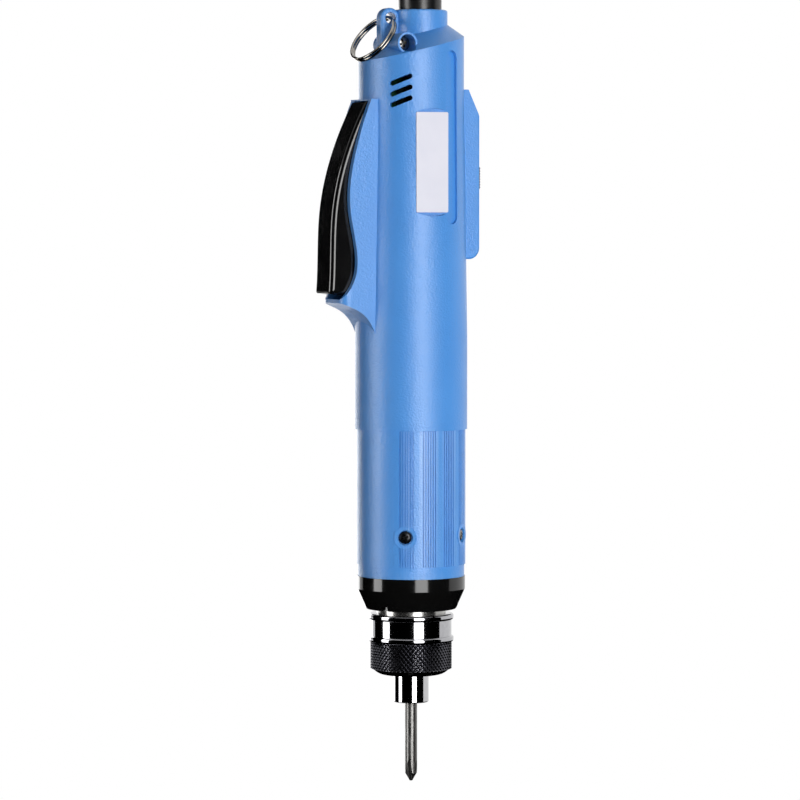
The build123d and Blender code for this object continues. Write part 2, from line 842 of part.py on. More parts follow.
# Fin that carries the lever, as one block before the lever's pocket is cut
fin_front_x = -barrel_top_r - lever_proud_top
with BuildPart() as fin:
    with BuildSketch(Plane.XZ):
        with BuildLine():
            brow = (-barrel_top_r - fin_brow_reach, fin_brow_z)
            crest = (-barrel_r - fin_crest_reach, fin_crest_z)
            waist = (-barrel_r - fin_waist_reach, fin_waist_z)
            chin = (-barrel_r - chin_reach, chin_z)
            Spline((fin_front_x, fin_top_z - fin_cap), brow, crest, waist, chin)
            Line(chin, (chin[0], chin[1] - chin_lip))
            Spline(
                (chin[0], chin[1] - chin_lip),
                (chin[0] + chin_reach * 0.3, chin_z - 2 * chin_lip),
                (-barrel_r - chin_reach * 0.24, chin_z - chin_step * 0.38),
                (-barrel_r + fin_root / 5, chin_z - chin_step * 0.63),
                (-barrel_r + fin_root, fin_z + 2 * seat_gap),
            )
            Polyline(
                (-barrel_r + fin_root, fin_z + 2 * seat_gap),
                (-cavity_top_r, fin_z + 2 * seat_gap),
                (-cavity_top_r, fin_top_z),
                (fin_front_x, fin_top_z),
                (fin_front_x, fin_top_z - fin_cap),
            )
        make_face()
    extrude(amount=fin_half, both=True)
    # Its front corners are rounded as seen from above, most of all at the chin
    with BuildSketch(Plane.XY.offset(fin_z)):
        with Locations((chin[0] / 2, 0)):
            Rectangle(-chin[0], 2 * fin_half)
        fillet(vertices().group_by(Axis.X)[0], fin_corner)
    extrude(amount=fin_top_z - fin_z, mode=Mode.INTERSECT)

# Switch pod, as one block before it is hollowed
pod_face = barrel_r + pod_reach
with BuildPart() as pod:
    with BuildSketch(Plane.XZ):
        with BuildLine():
            Polyline(
                (cavity_top_r, pod_z),
                (pod_face, pod_z),
                (pod_face, pod_top_z - pod_slope_height),
                (pod_face - pod_slope_in, pod_top_z),
                (cavity_top_r, pod_top_z),
                close=True,
            )
        make_face()
        fillet(vertices().sort_by(Axis.X)[-2:].sort_by(Axis.Y)[0], pod_corner)
    extrude(amount=pod_half, both=True)
    fillet(faces().sort_by(Axis.X)[-1].edges().filter_by(Axis.Z), pod_edge)

# Hanging ear
with BuildPart() as ear:
    with BuildSketch(Plane.XZ):
        ear_foot = shoulder_z - ear_r
        with Locations((-ear_shift, (ear_foot + ear_z) / 2)):
            Rectangle(2 * ear_r, ear_z - ear_foot)
        with Locations((-ear_shift, ear_z)):
            Circle(ear_r)
            Circle(ear_hole_r, mode=Mode.SUBTRACT)
    extrude(amount=ear_thickness / 2, both=True)
    rims = faces().filter_by(GeomType.CYLINDER).sort_by(Axis.Z)[-1].edges().filter_by(GeomType.CIRCLE)
    fillet(rims, ear_edge)

# Room inside the upper housing. A flat wall keeps the lever's pocket apart from it.
back_wall_x = lever_pivot_x + lever_pin_depth + 2 * side_gap + pocket_wall
with BuildPart() as room:
    turn(
        (0, barrel_z),
        (socket_r, barrel_z),
        (socket_r, spigot_top_z + side_gap),
        (cavity_low_r, spigot_top_z + side_gap),
        (cavity_low_r, fin_z),
        (cavity_top_r, fin_top_z),
        (cavity_top_r, cavity_top_z),
        (0, cavity_top_z),
    )
    back_wall_z = chin_z - barrel_wall
    with BuildSketch(Plane.XY.offset(back_wall_z)):
        with Locations((back_wall_x - cavity_low_r, 0)):
            Rectangle(2 * cavity_low_r, 2 * cavity_low_r)
    extrude(amount=fin_top_z + fin_cap - back_wall_z, mode=Mode.SUBTRACT)
    for low_z in (barrel_z + clamp_height / 2, motor_top_z - 2 * motor_rib):
        tube(2 * cavity_low_r, motor_r + seat_gap, low_z, low_z + motor_rib, mode=Mode.SUBTRACT)
    # Room inside the pod and the knob's window
    with BuildSketch(Plane.XZ):
        with Locations((pod_face - pod_wall - pod_half, knob_z)):
            Rectangle(2 * pod_half, 4 * knob_travel + knob_length + 4 * pod_wall)
    extrude(amount=pod_half - pod_wall, both=True)
    with BuildSketch(Plane.XZ):
        with Locations((pod_face, knob_z)):
            Rectangle(4 * pod_wall, knob_length + 2 * knob_travel + 2 * side_gap)
    extrude(amount=knob_half + side_gap, both=True)
    # Bore for the cord gland
    with BuildSketch(Plane.XY.offset(cavity_top_z)):
        with Locations((neck_shift, 0)):
            Circle(gland_spigot_r + seat_gap)
    extrude(amount=neck_top_z - cavity_top_z)

# Lever outline, from its top round by the outer face
lever_top_z = fin_top_z - fin_cap - side_gap
lever_foot_z = chin_z + side_gap
lever_half = lever_width / 2
outer_top = (fin_front_x - lever_proud_top, lever_top_z)
outer_foot = (chin[0] - lever_proud_chin, lever_foot_z + lever_foot_rise)
inner_top = (lever_pivot_x + lever_pin_depth, lever_top_z)
inner_middle = (crest[0] + lever_back, fin_crest_z)
inner_foot = (waist[0] + lever_back - lever_proud_chin, lever_foot_z + seat_gap)

# Pocket for the lever, deep enough for its swing
pocket_half = lever_half + side_gap
pocket_top_z = fin_top_z - fin_cap
swing = sin(radians(lever_angle))
pocket_foot_z = chin_z - side_gap
pocket_top = (inner_top[0] + 2 * side_gap, pocket_top_z)
pocket_middle = (inner_middle[0] + swing * (lever_pivot_z - fin_crest_z) + 2 * side_gap, fin_crest_z)
pocket_foot = (inner_foot[0] + swing * (lever_pivot_z - pocket_foot_z) + 2 * side_gap, pocket_foot_z)
with BuildPart() as pocket:
    with BuildSketch(Plane.XZ):
        with BuildLine():
            Polyline(
                pocket_top,
                (2 * chin[0], pocket_top_z),
                (2 * chin[0], chin_z + side_gap),
                (chin[0], chin_z),
                pocket_foot,
            )
            ThreePointArc(pocket_foot, pocket_middle, pocket_top)
        make_face()
    extrude(amount=pocket_half, both=True)

# The whole upper housing, before it is parted in two shells
tilt = radians(shoulder_tilt)
tilted = {"x_dir": (cos(tilt), 0, sin(tilt)), "z_dir": (-sin(tilt), 0, cos(tilt))}
shoulder_plane = Plane(origin=(0, 0, shoulder_z), **tilted)
neck_plane = Plane(origin=(neck_shift, 0, neck_base_z), **tilted)
with BuildPart() as upper_body:
    turn(
        (0, barrel_z),
        (barrel_r, barrel_z),
        (barrel_r, fin_z),
        (barrel_top_r, fin_top_z),
        (barrel_top_r, neck_top_z),
        (0, neck_top_z),
    )
    split(bisect_by=shoulder_plane, keep=Keep.BOTTOM)
    with BuildSketch(shoulder_plane):
        Ellipse(barrel_top_r / cos(tilt), barrel_top_r)
    with BuildSketch(neck_plane):
        Ellipse(neck_r / cos(tilt), neck_r)
    loft()
    with BuildSketch(Plane.XY.offset(shoulder_z)):
        with Locations((neck_shift, 0)):
            Circle(neck_r)
    extrude(amount=neck_top_z - shoulder_z)
    fillet(edges().filter_by(GeomType.CIRCLE).sort_by(Axis.Z)[-1], neck_edge)
    add(ear.part)
    with BuildSketch(Plane.XZ.offset(boss_depth)):
        with Locations((-boss_shift, boss_z)):
            Circle(boss_r)
    extrude(amount=-1.5 * boss_depth)
    add(fin.part)
    add(pod.part)
    add(room.part, mode=Mode.SUBTRACT)
    add(pocket.part, mode=Mode.SUBTRACT)
    with BuildSketch(Plane.XZ):
        with Locations((lever_pivot_x, lever_pivot_z)):
            Circle(lever_pin_r + seat_gap / 5)
    extrude(amount=pocket_half + lever_pin_grip, both=True, mode=Mode.SUBTRACT)

# Cutters for what both shells have: three vents and a shallow flute
with BuildPart() as side_cuts:
    vent_plane = skin_plane(vent_angle, cavity_top_r - barrel_wall, fin_top_z + vent_lift)
    with BuildSketch(vent_plane):
        with GridLocations(0, vent_pitch, 1, vent_count):
            SlotOverall(vent_length, vent_width, rotation=vent_tilt)
    extrude(amount=3 * barrel_wall)
    flute_top_z = shoulder_z - flute_width / 5
    flute_foot = skin_plane(flute_angle, barrel_top_r - flute_depth, flute_top_z - flute_length / 2)
    with BuildSketch(flute_foot.rotated((-flute_lean, 0, 0))):
        SlotOverall(flute_length, flute_width, rotation=90)
    extrude(amount=2 * barrel_wall)

with BuildPart() as right_shell:
    add(upper_body.part)
    split(bisect_by=Plane.XZ, keep=Keep.TOP)
    add(side_cuts.part, mode=Mode.SUBTRACT)
    # Flat seat of the label plate
    label_z = chin_z + label_lift
    label_seat = barrel_top_r - label_sink + seat_gap
    with BuildSketch(Plane.XZ.offset(label_seat)):
        with BuildLine():
            seat_half = label_width / 2 + seat_gap
            seat_low = label_z - label_length / 2 - seat_gap
            seat_high = label_z + label_length / 2 + seat_gap
            ThreePointArc((-seat_half, seat_low), (0, seat_low - label_seat_bow), (seat_half, seat_low))
            Line((seat_half, seat_low), (seat_half, seat_high))
            ThreePointArc((seat_half, seat_high), (0, seat_high + label_seat_bow), (-seat_half, seat_high))
            Line((-seat_half, seat_high), (-seat_half, seat_low))
        make_face()
    extrude(amount=barrel_wall, mode=Mode.SUBTRACT)
    with BuildSketch(Plane.XZ.offset(shell_screw_seat)):
        with Locations((-boss_shift, boss_z)):
            Circle(shell_pocket_r)
    extrude(amount=barrel_top_r - shell_screw_seat, mode=Mode.SUBTRACT)
    with BuildSketch(Plane.XZ):
        with Locations((-boss_shift, boss_z)):
            Circle(shell_screw_r + seat_gap)
    extrude(amount=shell_screw_seat, mode=Mode.SUBTRACT)

shell_screw_reach = shell_screw_length - shell_screw_seat
with BuildPart() as left_shell:
    add(upper_body.part)
    split(bisect_by=Plane.XZ, keep=Keep.BOTTOM)
    add(mirror(side_cuts.part, about=Plane.XZ, mode=Mode.PRIVATE), mode=Mode.SUBTRACT)
    with BuildSketch(Plane.XZ):
        with Locations((-boss_shift, boss_z)):
            Circle(shell_screw_r + seat_gap / 5)
    extrude(amount=-shell_screw_reach - seat_gap, mode=Mode.SUBTRACT)
    # Four posts that carry the circuit board
    with BuildSketch(Plane.XZ.offset(-board_back_y)):
        post_height = board_head_z - board_foot_z - 4 * post_r
        with Locations((0, (board_head_z + board_foot_z) / 2)):
            with GridLocations(2 * post_shift, post_height, 2, 2):
                Circle(post_r)
    post_reach = sqrt(cavity_top_r**2 - post_shift**2) - board_back_y
    extrude(amount=-post_reach - barrel_wall / 2)

# Label plate, bare
with BuildPart() as label_plate:
    with BuildSketch(Plane.XZ.offset(label_seat)):
        with Locations((0, label_z)):
            RectangleRounded(label_width, label_length, label_thickness)
    extrude(amount=label_thickness)

with BuildPart() as shell_screw:
    with BuildSketch(Plane.XZ.offset(shell_screw_seat)):
        with Locations((-boss_shift, boss_z)):
            Circle(shell_screw_head_r)
    extrude(amount=shell_screw_head)
    fillet(faces().sort_by(Axis.Y)[0].edges(), shell_screw_head / 3)
    with BuildSketch(Plane.XZ.offset(shell_screw_seat)):
        with Locations((-boss_shift, boss_z)):
            Circle(shell_screw_r)
    extrude(amount=-shell_screw_length)

# Start lever
with BuildPart() as lever:
    with BuildSketch(Plane.XZ):
        with BuildLine():
            Spline(
                outer_top,
                (brow[0] - lever_proud_brow, fin_brow_z),
                (crest[0] - lever_proud_crest, fin_crest_z),
                (waist[0] - lever_proud_waist, fin_waist_z),
                outer_foot,
            )
            Line(outer_foot, inner_foot)
            ThreePointArc(inner_foot, inner_middle, inner_top)
            Line(inner_top, outer_top)
        make_face()
    extrude(amount=lever_half, both=True)
    foot_edges = edges().filter_by(Axis.Y).sort_by(Axis.Z)[:2]
    fillet(foot_edges, lever_edge / 2)
    outer_faces = faces().filter_by(GeomType.BSPLINE)
    fillet(outer_faces.sort_by(SortBy.AREA)[-1].edges().filter_by(Axis.Y, reverse=True), lever_edge)
    with BuildSketch(Plane.XZ):
        with Locations((lever_pivot_x, lever_pivot_z)):
            Circle(lever_pin_r + run_gap)
    extrude(amount=lever_width, both=True, mode=Mode.SUBTRACT)
    # Sockets for the spring and the magnet, from the lever's back
    spring_seat_x = crest[0] + lever_back - lever_spring_socket
    with BuildSketch(Plane.YZ.offset(spring_seat_x)):
        with Locations((0, lever_spring_z)):
            Circle(lever_spring_r + side_gap)
    extrude(amount=2 * lever_spring_socket, mode=Mode.SUBTRACT)
    magnet_x = inner_foot[0] - magnet_height - 2 * side_gap
    with BuildSketch(Plane.YZ.offset(magnet_x)):
        with Locations((0, lever_magnet_z)):
            Circle(magnet_r + seat_gap / 2)
    extrude(amount=2 * lever_spring_socket, mode=Mode.SUBTRACT)

with BuildPart() as lever_pin:
    with BuildSketch(Plane.XZ):
        with Locations((lever_pivot_x, lever_pivot_z)):
            Circle(lever_pin_r)
    extrude(amount=pocket_half + lever_pin_grip - seat_gap, both=True)

with BuildPart() as lever_magnet:
    with BuildSketch(Plane.YZ.offset(magnet_x + face_gap)):
        with Locations((0, lever_magnet_z)):
            Circle(magnet_r)
    extrude(amount=magnet_height)

# Lever spring, from the floor of the pocket to the socket in the lever
with BuildPart() as lever_spring:
    spring_low_x = spring_seat_x + lever_spring_wire_r + face_gap
    spring_high_x = pocket_middle[0] - lever_spring_wire_r - 4 * face_gap
    spring_rise = spring_high_x - spring_low_x
    with BuildLine() as spring_path:
        Helix(
            pitch=spring_rise / lever_spring_turns,
            height=spring_rise,
            radius=lever_spring_r - lever_spring_wire_r,
            center=(spring_low_x, 0, lever_spring_z),
            direction=(1, 0, 0),
        )
    with BuildSketch(Plane(origin=spring_path.line @ 0, z_dir=spring_path.line % 0)):
        Circle(lever_spring_wire_r)
    sweep(is_frenet=True)

# Reversing knob: ridged cap in the pod's window, plate behind it and a leg into the switch
with BuildPart() as reversing_knob:
    plate_x = pod_face - pod_wall - side_gap
    with BuildSketch(Plane.XZ):
        with Locations(((plate_x + pod_face + knob_proud) / 2, knob_z)):
            Rectangle(pod_face + knob_proud - plate_x, knob_length)
    extrude(amount=knob_half, both=True)
    with BuildSketch(Plane.XZ):
        ridge_pitch = knob_length / knob_ridges
        with Locations((pod_face + knob_proud, knob_z)):
            with GridLocations(0, ridge_pitch, 1, knob_ridges - 1):
                Rectangle(2 * knob_proud, ridge_pitch / 2)
    extrude(amount=knob_half, both=True, mode=Mode.SUBTRACT)
    with BuildSketch(Plane.XZ):
        with Locations((plate_x - knob_plate / 2, knob_z)):
            Rectangle(knob_plate, knob_length + 2 * knob_travel + 4 * side_gap)
    extrude(amount=knob_plate_half, both=True)
    with BuildSketch(Plane.XZ):
        with Locations((plate_x - (knob_plate + knob_leg_reach) / 2, knob_z)):
            Rectangle(knob_plate + knob_leg_reach, 2 * knob_leg_half)
    extrude(amount=knob_leg_half, both=True)

# Circuit board and what is soldered on it
board_middle_z = (board_head_z + board_foot_z) / 2
with BuildPart() as circuit_board:
    with Locations((0, board_y + board_thickness / 2, board_middle_z)):
        Box(2 * board_half, board_thickness, board_head_z - board_foot_z)

leg_end_x = plate_x - knob_plate - knob_leg_reach
switch_face_x = leg_end_x + knob_leg_reach / 2
with BuildPart() as reversing_switch:
    with Locations((switch_face_x - switch_width / 2, board_y - switch_depth / 2, knob_z)):
        Box(switch_width, switch_depth, switch_length)
    slot_width = 2 * knob_leg_half + 2 * side_gap
    with Locations((switch_face_x, 0, knob_z)):
        Box(
            knob_leg_reach + 2 * side_gap,
            slot_width,
            slot_width + 2 * knob_travel,
            mode=Mode.SUBTRACT,
        )

with BuildPart() as start_sensor:
    with Locations((sensor_r - board_half, board_y - sensor_r, lever_magnet_z)):
        Cylinder(sensor_r, sensor_length)

with BuildPart() as brake_transistor:
    with Locations((0, board_y - transistor[1] / 2, board_foot_z + transistor[2] / 2 + motor_rib)):
        Box(*transistor)

with BuildPart() as capacitor:
    capacitor_z = board_foot_z + transistor[2] + capacitor_length + 2 * motor_rib
    with Locations((capacitor_r - board_half + sensor_r, board_y - capacitor_r, capacitor_z)):
        Cylinder(capacitor_r, capacitor_length)

with BuildPart() as cord_terminal:
    with Locations((0, board_y - terminal[1] / 2, board_head_z - terminal[2] / 2 - motor_rib)):
        Box(*terminal)

# Cord gland: a black bush in the neck with two shallow rings and a rounded top
with BuildPart() as cord_gland:
    gland_top = neck_top_z + gland_height
    gland_ring = gland_height / 6
    turn(
        (gland_bore_r, neck_top_z - gland_spigot),
        (gland_spigot_r, neck_top_z - gland_spigot),
        (gland_spigot_r, neck_top_z),
        (gland_r, neck_top_z),
        (gland_r, neck_top_z + 2 * gland_ring),
        (gland_r - gland_ring_depth, neck_top_z + 2 * gland_ring),
        (gland_r - gland_ring_depth, neck_top_z + 3 * gland_ring),
        (gland_r, neck_top_z + 3 * gland_ring),
        (gland_r, gland_top),
        (gland_bore_r, gland_top),
        shift=neck_shift,
    )
    fillet(edges().filter_by(GeomType.CIRCLE).group_by(Axis.Z)[-1].sort_by(SortBy.RADIUS)[-1], gland_ring)

# Hanging ring: a split ring of two coils, hung through the ear
hang = radians(hang_angle)
twist = radians(hang_twist)
reach = Vector(-cos(hang), 0, -sin(hang))
flat_normal = Vector(sin(hang), 0, -cos(hang))
ring_normal = flat_normal * cos(twist) + Vector(0, 1, 0) * sin(twist)
ear_hole = Vector(-ear_shift, 0, ear_z)
hang_centre = ear_hole + reach * hang_ring_r
with BuildPart() as hanging_ring:
    with BuildSketch(Plane(origin=hang_centre, x_dir=reach, z_dir=reach.cross(ring_normal))):
        with Locations((hang_ring_r, hang_coil_offset), (hang_ring_r, -hang_coil_offset)):
            Circle(hang_wire_r)
    revolve(axis=Axis(hang_centre, ring_normal))

pieces = {
    "right_shell": right_shell,
    "left_shell": left_shell,
    "right_grip": right_grip,
    "left_grip": left_grip,
    "label_plate": label_plate,
    "shell_screw": shell_screw,
    "grip_screws": grip_screws,
    "cord_gland": cord_gland,
    "hanging_ring": hanging_ring,
    "lever": lever,
    "lever_pin": lever_pin,
    "lever_spring": lever_spring,
    "lever_magnet": lever_magnet,
    "reversing_knob": reversing_knob,
    "reversing_switch": reversing_switch,
    "circuit_board": circuit_board,
    "start_sensor": start_sensor,
    "brake_transistor": brake_transistor,
    "capacitor": capacitor,
    "cord_terminal": cord_terminal,
    "motor_can": motor_can,
    "motor_magnets": motor_magnets,
    "motor_end_cap": motor_end_cap,
    "rear_bearing": rear_bearing,
    "front_bearing": front_bearing,
    "rotor": rotor,
    "commutator": commutator,
    "brushes": brushes,
    "pinion": pinion,
    "gear_case": gear_case,
    "ring_gear": ring_gear,
    "carrier": carrier,
    "planet_pins": planet_pins,
    "planet_washer": planet_washer,
    "output_bearing": output_bearing,
    "clutch_case": clutch_case,
    "clutch_case_screws": clutch_case_screws,
    "driving_plate": driving_plate,
    "clutch_balls": clutch_balls,
    "driven_plate": driven_plate,
    "clutch_spring": clutch_spring,
    "thrust_plate": thrust_plate,
    "torque_ring": torque_ring,
    "nose_cap": nose_cap,
    "spindle": spindle,
    "lock_balls": lock_balls,
    "chuck_spring": chuck_spring,
    "spring_collar": spring_collar,
    "chuck_sleeve": chuck_sleeve,
    "sleeve_keeper": sleeve_keeper,
    "bit": bit,
}
for number, planet_gear in enumerate(planet_gears, start=1):
    pieces[f"planet_gear_{number}"] = planet_gear
for name, piece in pieces.items():
    save(piece, name)
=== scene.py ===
"""Looks of an in-line electric screwdriver that hangs with its bit down.

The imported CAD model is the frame. Each sub-assembly is a class that holds its sizes in millimetres,
builds the pieces that need more detail than the solids have, and dresses every node it owns.
Azimuths are in degrees round the tool, 0 on the side that faces -Y and 90 on the side that faces +X.
"""

import json
import logging
import math
from collections.abc import Iterable, Sequence
from dataclasses import dataclass
from enum import Enum
from typing import ClassVar

import bmesh
import bpy
from mathutils import Matrix, Vector

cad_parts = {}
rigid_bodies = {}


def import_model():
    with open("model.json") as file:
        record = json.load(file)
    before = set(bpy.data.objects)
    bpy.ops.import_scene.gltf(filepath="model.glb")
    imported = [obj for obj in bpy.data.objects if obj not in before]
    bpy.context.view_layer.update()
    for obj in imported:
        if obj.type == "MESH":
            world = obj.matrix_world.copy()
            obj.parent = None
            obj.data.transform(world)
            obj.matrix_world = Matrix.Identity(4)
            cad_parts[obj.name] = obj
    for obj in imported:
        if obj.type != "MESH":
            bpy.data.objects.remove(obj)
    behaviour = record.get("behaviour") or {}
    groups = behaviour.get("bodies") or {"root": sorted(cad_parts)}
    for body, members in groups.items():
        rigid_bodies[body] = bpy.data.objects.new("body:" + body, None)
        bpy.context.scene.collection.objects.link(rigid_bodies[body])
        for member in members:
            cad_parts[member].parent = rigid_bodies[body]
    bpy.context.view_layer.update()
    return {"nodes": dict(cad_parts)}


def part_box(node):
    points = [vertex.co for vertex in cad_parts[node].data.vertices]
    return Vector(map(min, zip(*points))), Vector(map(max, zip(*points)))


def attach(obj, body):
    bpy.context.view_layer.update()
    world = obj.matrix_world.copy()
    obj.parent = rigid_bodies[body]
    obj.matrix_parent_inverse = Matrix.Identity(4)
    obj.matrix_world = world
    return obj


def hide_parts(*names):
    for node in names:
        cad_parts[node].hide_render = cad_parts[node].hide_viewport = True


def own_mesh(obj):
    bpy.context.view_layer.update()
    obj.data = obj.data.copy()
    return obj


MM = 0.001
LOG = logging.getLogger("screwdriver")

Tree = bpy.types.NodeTree
Socket = bpy.types.NodeSocket
Node = bpy.types.Node
Piece = bpy.types.Object


class Direction(Enum):
    """The way that the lines of a machined surface run."""

    ROUND = "round"
    ALONG = "along"


def linear(colour: str) -> tuple[float, float, float, float]:
    """Turns an sRGB hex colour to linear.

    Args:
        colour: six hex digits after a hash sign.

    Returns:
        Red, green, blue and an alpha of 1.
    """
    channels = [int(colour[at : at + 2], 16) / 255 for at in (1, 3, 5)]
    red, green, blue = (c / 12.92 if c <= 0.04045 else ((c + 0.055) / 1.055) ** 2.4 for c in channels)
    return red, green, blue, 1.0


def add_node(tree: Tree, kind: str, inputs: dict | None = None, **settings: object) -> Node:
    """Adds a node with its settings and links.

    Args:
        tree: the node tree that takes it.
        kind: the node's type name.
        inputs: value or source socket for each input, by its name or number.
        settings: the node's own properties.

    Returns:
        The new node.
    """
    made = tree.nodes.new(kind)
    for name, value in settings.items():
        setattr(made, name, value)
    for name, value in (inputs or {}).items():
        if isinstance(value, Socket):
            tree.links.new(value, made.inputs[name])
        else:
            made.inputs[name].default_value = value
    return made


def empty_tree(owner: bpy.types.Material | bpy.types.World) -> Tree:
    """Switches the owner's nodes on and takes the ready-made ones out."""
    owner.use_nodes = True
    owner.node_tree.nodes.clear()
    return owner.node_tree


def linked(name: str, data: bpy.types.ID) -> Piece:
    """Makes an object from its data and links it to the scene."""
    made = bpy.data.objects.new(name, data)
    bpy.context.scene.collection.objects.link(made)
    return made


def per_metre(size_mm: float) -> float:
    """The texture scale at which one cell is that many millimetres wide."""
    return 1000.0 / size_mm


@dataclass(frozen=True)
class Finish:
    """A surface as a maker would order it. Subclasses add the detail that the eye sees on it."""

    name: str
    colour: str
    roughness: float
    metallic: float = 0.0
    ior: float = 1.5
    coat: float = 0.0
    coat_roughness: float = 0.05

    def detail(self, tree: Tree, place: Socket) -> dict[str, Socket]:
        """Adds the pattern of the surface.

        Args:
            tree: the material's tree.
            place: where the pattern is read.

        Returns:
            The pattern for each input of the shader. The plain finish has none.
        """
        return {}

    def make(self) -> bpy.types.Material:
        """Builds the material once and gives the same one after that.

        Returns:
            The material of this name.
        """
        made = bpy.data.materials.get(self.name)
        if made is not None:
            return made
        made = bpy.data.materials.new(self.name)
        made.diffuse_color = linear(self.colour)
        tree = empty_tree(made)
        place = add_node(tree, "ShaderNodeTexCoord").outputs["Object"]
        inputs = {"Base Color": linear(self.colour), "Roughness": self.roughness, "Metallic": self.metallic}
        inputs |= {"IOR": self.ior, "Coat Weight": self.coat, "Coat Roughness": self.coat_roughness}
        shader = add_node(tree, "ShaderNodeBsdfPrincipled", inputs)
        add_node(tree, "ShaderNodeOutputMaterial", {"Surface": shader.outputs["BSDF"]})
        for name, pattern in self.detail(tree, place).items():
            tree.links.new(pattern, shader.inputs[name])
        return made


def mottle(tree: Tree, place: Socket, size_mm: float, low: float, high: float, detail: float = 3.0) -> Socket:
    """Soft spots of one size, spread between two values.

    Args:
        tree: the material's tree.
        place: where the pattern is read.
        size_mm: the width of a spot.
        low: the value in the darkest spots.
        high: the value in the brightest spots.
        detail: how much finer noise lies on the spots.

    Returns:
        The socket with the values.
    """
    noise = add_node(tree, "ShaderNodeTexNoise", {"Vector": place, "Scale": per_metre(size_mm), "Detail": detail})
    # Nearly all of the noise lies between 0.3 and 0.7.
    inputs = {"Value": noise.outputs["Fac"], "From Min": 0.3, "From Max": 0.7, "To Min": low, "To Max": high}
    return add_node(tree, "ShaderNodeMapRange", inputs).outputs["Result"]


@dataclass(frozen=True)
class SparkErodedAbs(Finish):
    """ABS moulded in a spark-eroded tool: fine pits that break a highlight into a sparkle.

    Attributes:
        dip_colour: the pigment where it drifts darker.
        grain_mm: width of a pit. The real ones are near 0.3 mm, drawn coarser so that they show.
        pit_mm: depth of a pit, drawn deeper with them.
        part_line_mm: half the width of the line where the two halves meet.
        part_colour: the shade in that line.
        edge_highlight_share: how far a painted highlight lightens the sharp edges.
        dust_and_highlight_colour: the colour of that painted highlight on a sharp edge.
        edge_highlight_from: pointiness of an edge where the painted highlight starts, and of one where it is full.
    """

    dip_colour: str = "#3A86D4"
    grain_mm: float = 0.62
    pit_mm: float = 0.16
    part_line_mm: float = 0.11
    part_colour: str = "#1D4F8C"
    edge_highlight_share: float = 0.0
    dust_and_highlight_colour: str = "#A9CBF2"
    edge_highlight_from: tuple[float, float] = (0.56, 0.7)

    def detail(self, tree: Tree, place: Socket) -> dict[str, Socket]:
        """Adds the pits, a faint drift of the pigment, handling polish and the line where the halves meet."""
        drift = mottle(tree, place, 34.0, 0.0, 0.55, detail=2.0)
        inputs = {0: drift, 6: linear(self.colour), 7: linear(self.dip_colour)}
        colour = add_node(tree, "ShaderNodeMix", inputs, data_type="RGBA").outputs[2]
        inputs = {"Vector": place, "Scale": per_metre(self.grain_mm), "Detail": 2.0}
        pits = add_node(tree, "ShaderNodeTexNoise", inputs).outputs["Fac"]
        inputs = {"Height": pits, "Strength": 1.0, "Distance": self.pit_mm * MM}
        normal = add_node(tree, "ShaderNodeBump", inputs).outputs["Normal"]
        polish = mottle(tree, place, 21.0, self.roughness - 0.035, self.roughness + 0.035)
        beside = add_node(tree, "ShaderNodeSeparateXYZ", {"Vector": place}).outputs["Y"]
        away = add_node(tree, "ShaderNodeMath", {0: beside}, operation="ABSOLUTE").outputs["Value"]
        half = self.part_line_mm * MM
        inputs = {"Value": away, "From Min": 0.35 * half, "From Max": half, "To Min": 1.0, "To Max": 0.0}
        line = add_node(tree, "ShaderNodeMapRange", inputs, interpolation_type="SMOOTHSTEP").outputs["Result"]
        inputs = {0: line, 6: colour, 7: linear(self.part_colour)}
        colour = add_node(tree, "ShaderNodeMix", inputs, data_type="RGBA").outputs[2]
        inputs = {"Height": line, "Normal": normal, "Strength": 0.8, "Distance": 0.1 * MM}
        normal = add_node(tree, "ShaderNodeBump", inputs, invert=True).outputs["Normal"]
        # Painted highlight: sharp edges, found by their pointiness, are lightened towards a pale blue to stand for
        # lines of light along the ribs.
        if self.edge_highlight_share:
            bent = add_node(tree, "ShaderNodeNewGeometry").outputs["Pointiness"]
            low, high = self.edge_highlight_from
            inputs = {"Value": bent, "From Min": low, "From Max": high, "To Min": 0.0, "To Max": self.edge_highlight_share}
            painted_edge_highlight = add_node(tree, "ShaderNodeMapRange", inputs).outputs["Result"]
            inputs = {0: painted_edge_highlight, 6: colour, 7: linear(self.dust_and_highlight_colour)}
            colour = add_node(tree, "ShaderNodeMix", inputs, data_type="RGBA").outputs[2]
        return {"Base Color": colour, "Roughness": polish, "Normal": normal, "Coat Normal": normal}


@dataclass(frozen=True)
class PolishedMoulding(Finish):
    """A gloss moulding: flow waves too faint to feel, and hairline scratches from use."""

    scratch_mm: float = 0.5
    wave_mm: float = 9.0

    def detail(self, tree: Tree, place: Socket) -> dict[str, Socket]:
        """Adds flow waves and fine scratches along the piece."""
        inputs = {"Vector": place, "Scale": (1.0, 1.0, 0.05), "Rotation": (0.1, 0.0, 0.0)}
        along = add_node(tree, "ShaderNodeMapping", inputs).outputs["Vector"]
        inputs = {"Vector": along, "Scale": per_metre(self.scratch_mm), "Detail": 4.0}
        scratches = add_node(tree, "ShaderNodeTexNoise", inputs).outputs["Fac"]
        inputs = {"Vector": place, "Scale": per_metre(self.wave_mm), "Detail": 1.0}
        waves = add_node(tree, "ShaderNodeTexNoise", inputs).outputs["Fac"]
        inputs = {"Height": scratches, "Strength": 0.12, "Distance": 0.006 * MM}
        fine = add_node(tree, "ShaderNodeBump", inputs).outputs["Normal"]
        inputs = {"Height": waves, "Normal": fine, "Strength": 0.5, "Distance": 0.06 * MM}
        flow = add_node(tree, "ShaderNodeBump", inputs).outputs["Normal"]
        return {"Roughness": mottle(tree, place, 6.0, self.roughness, self.roughness + 0.05), "Normal": flow}


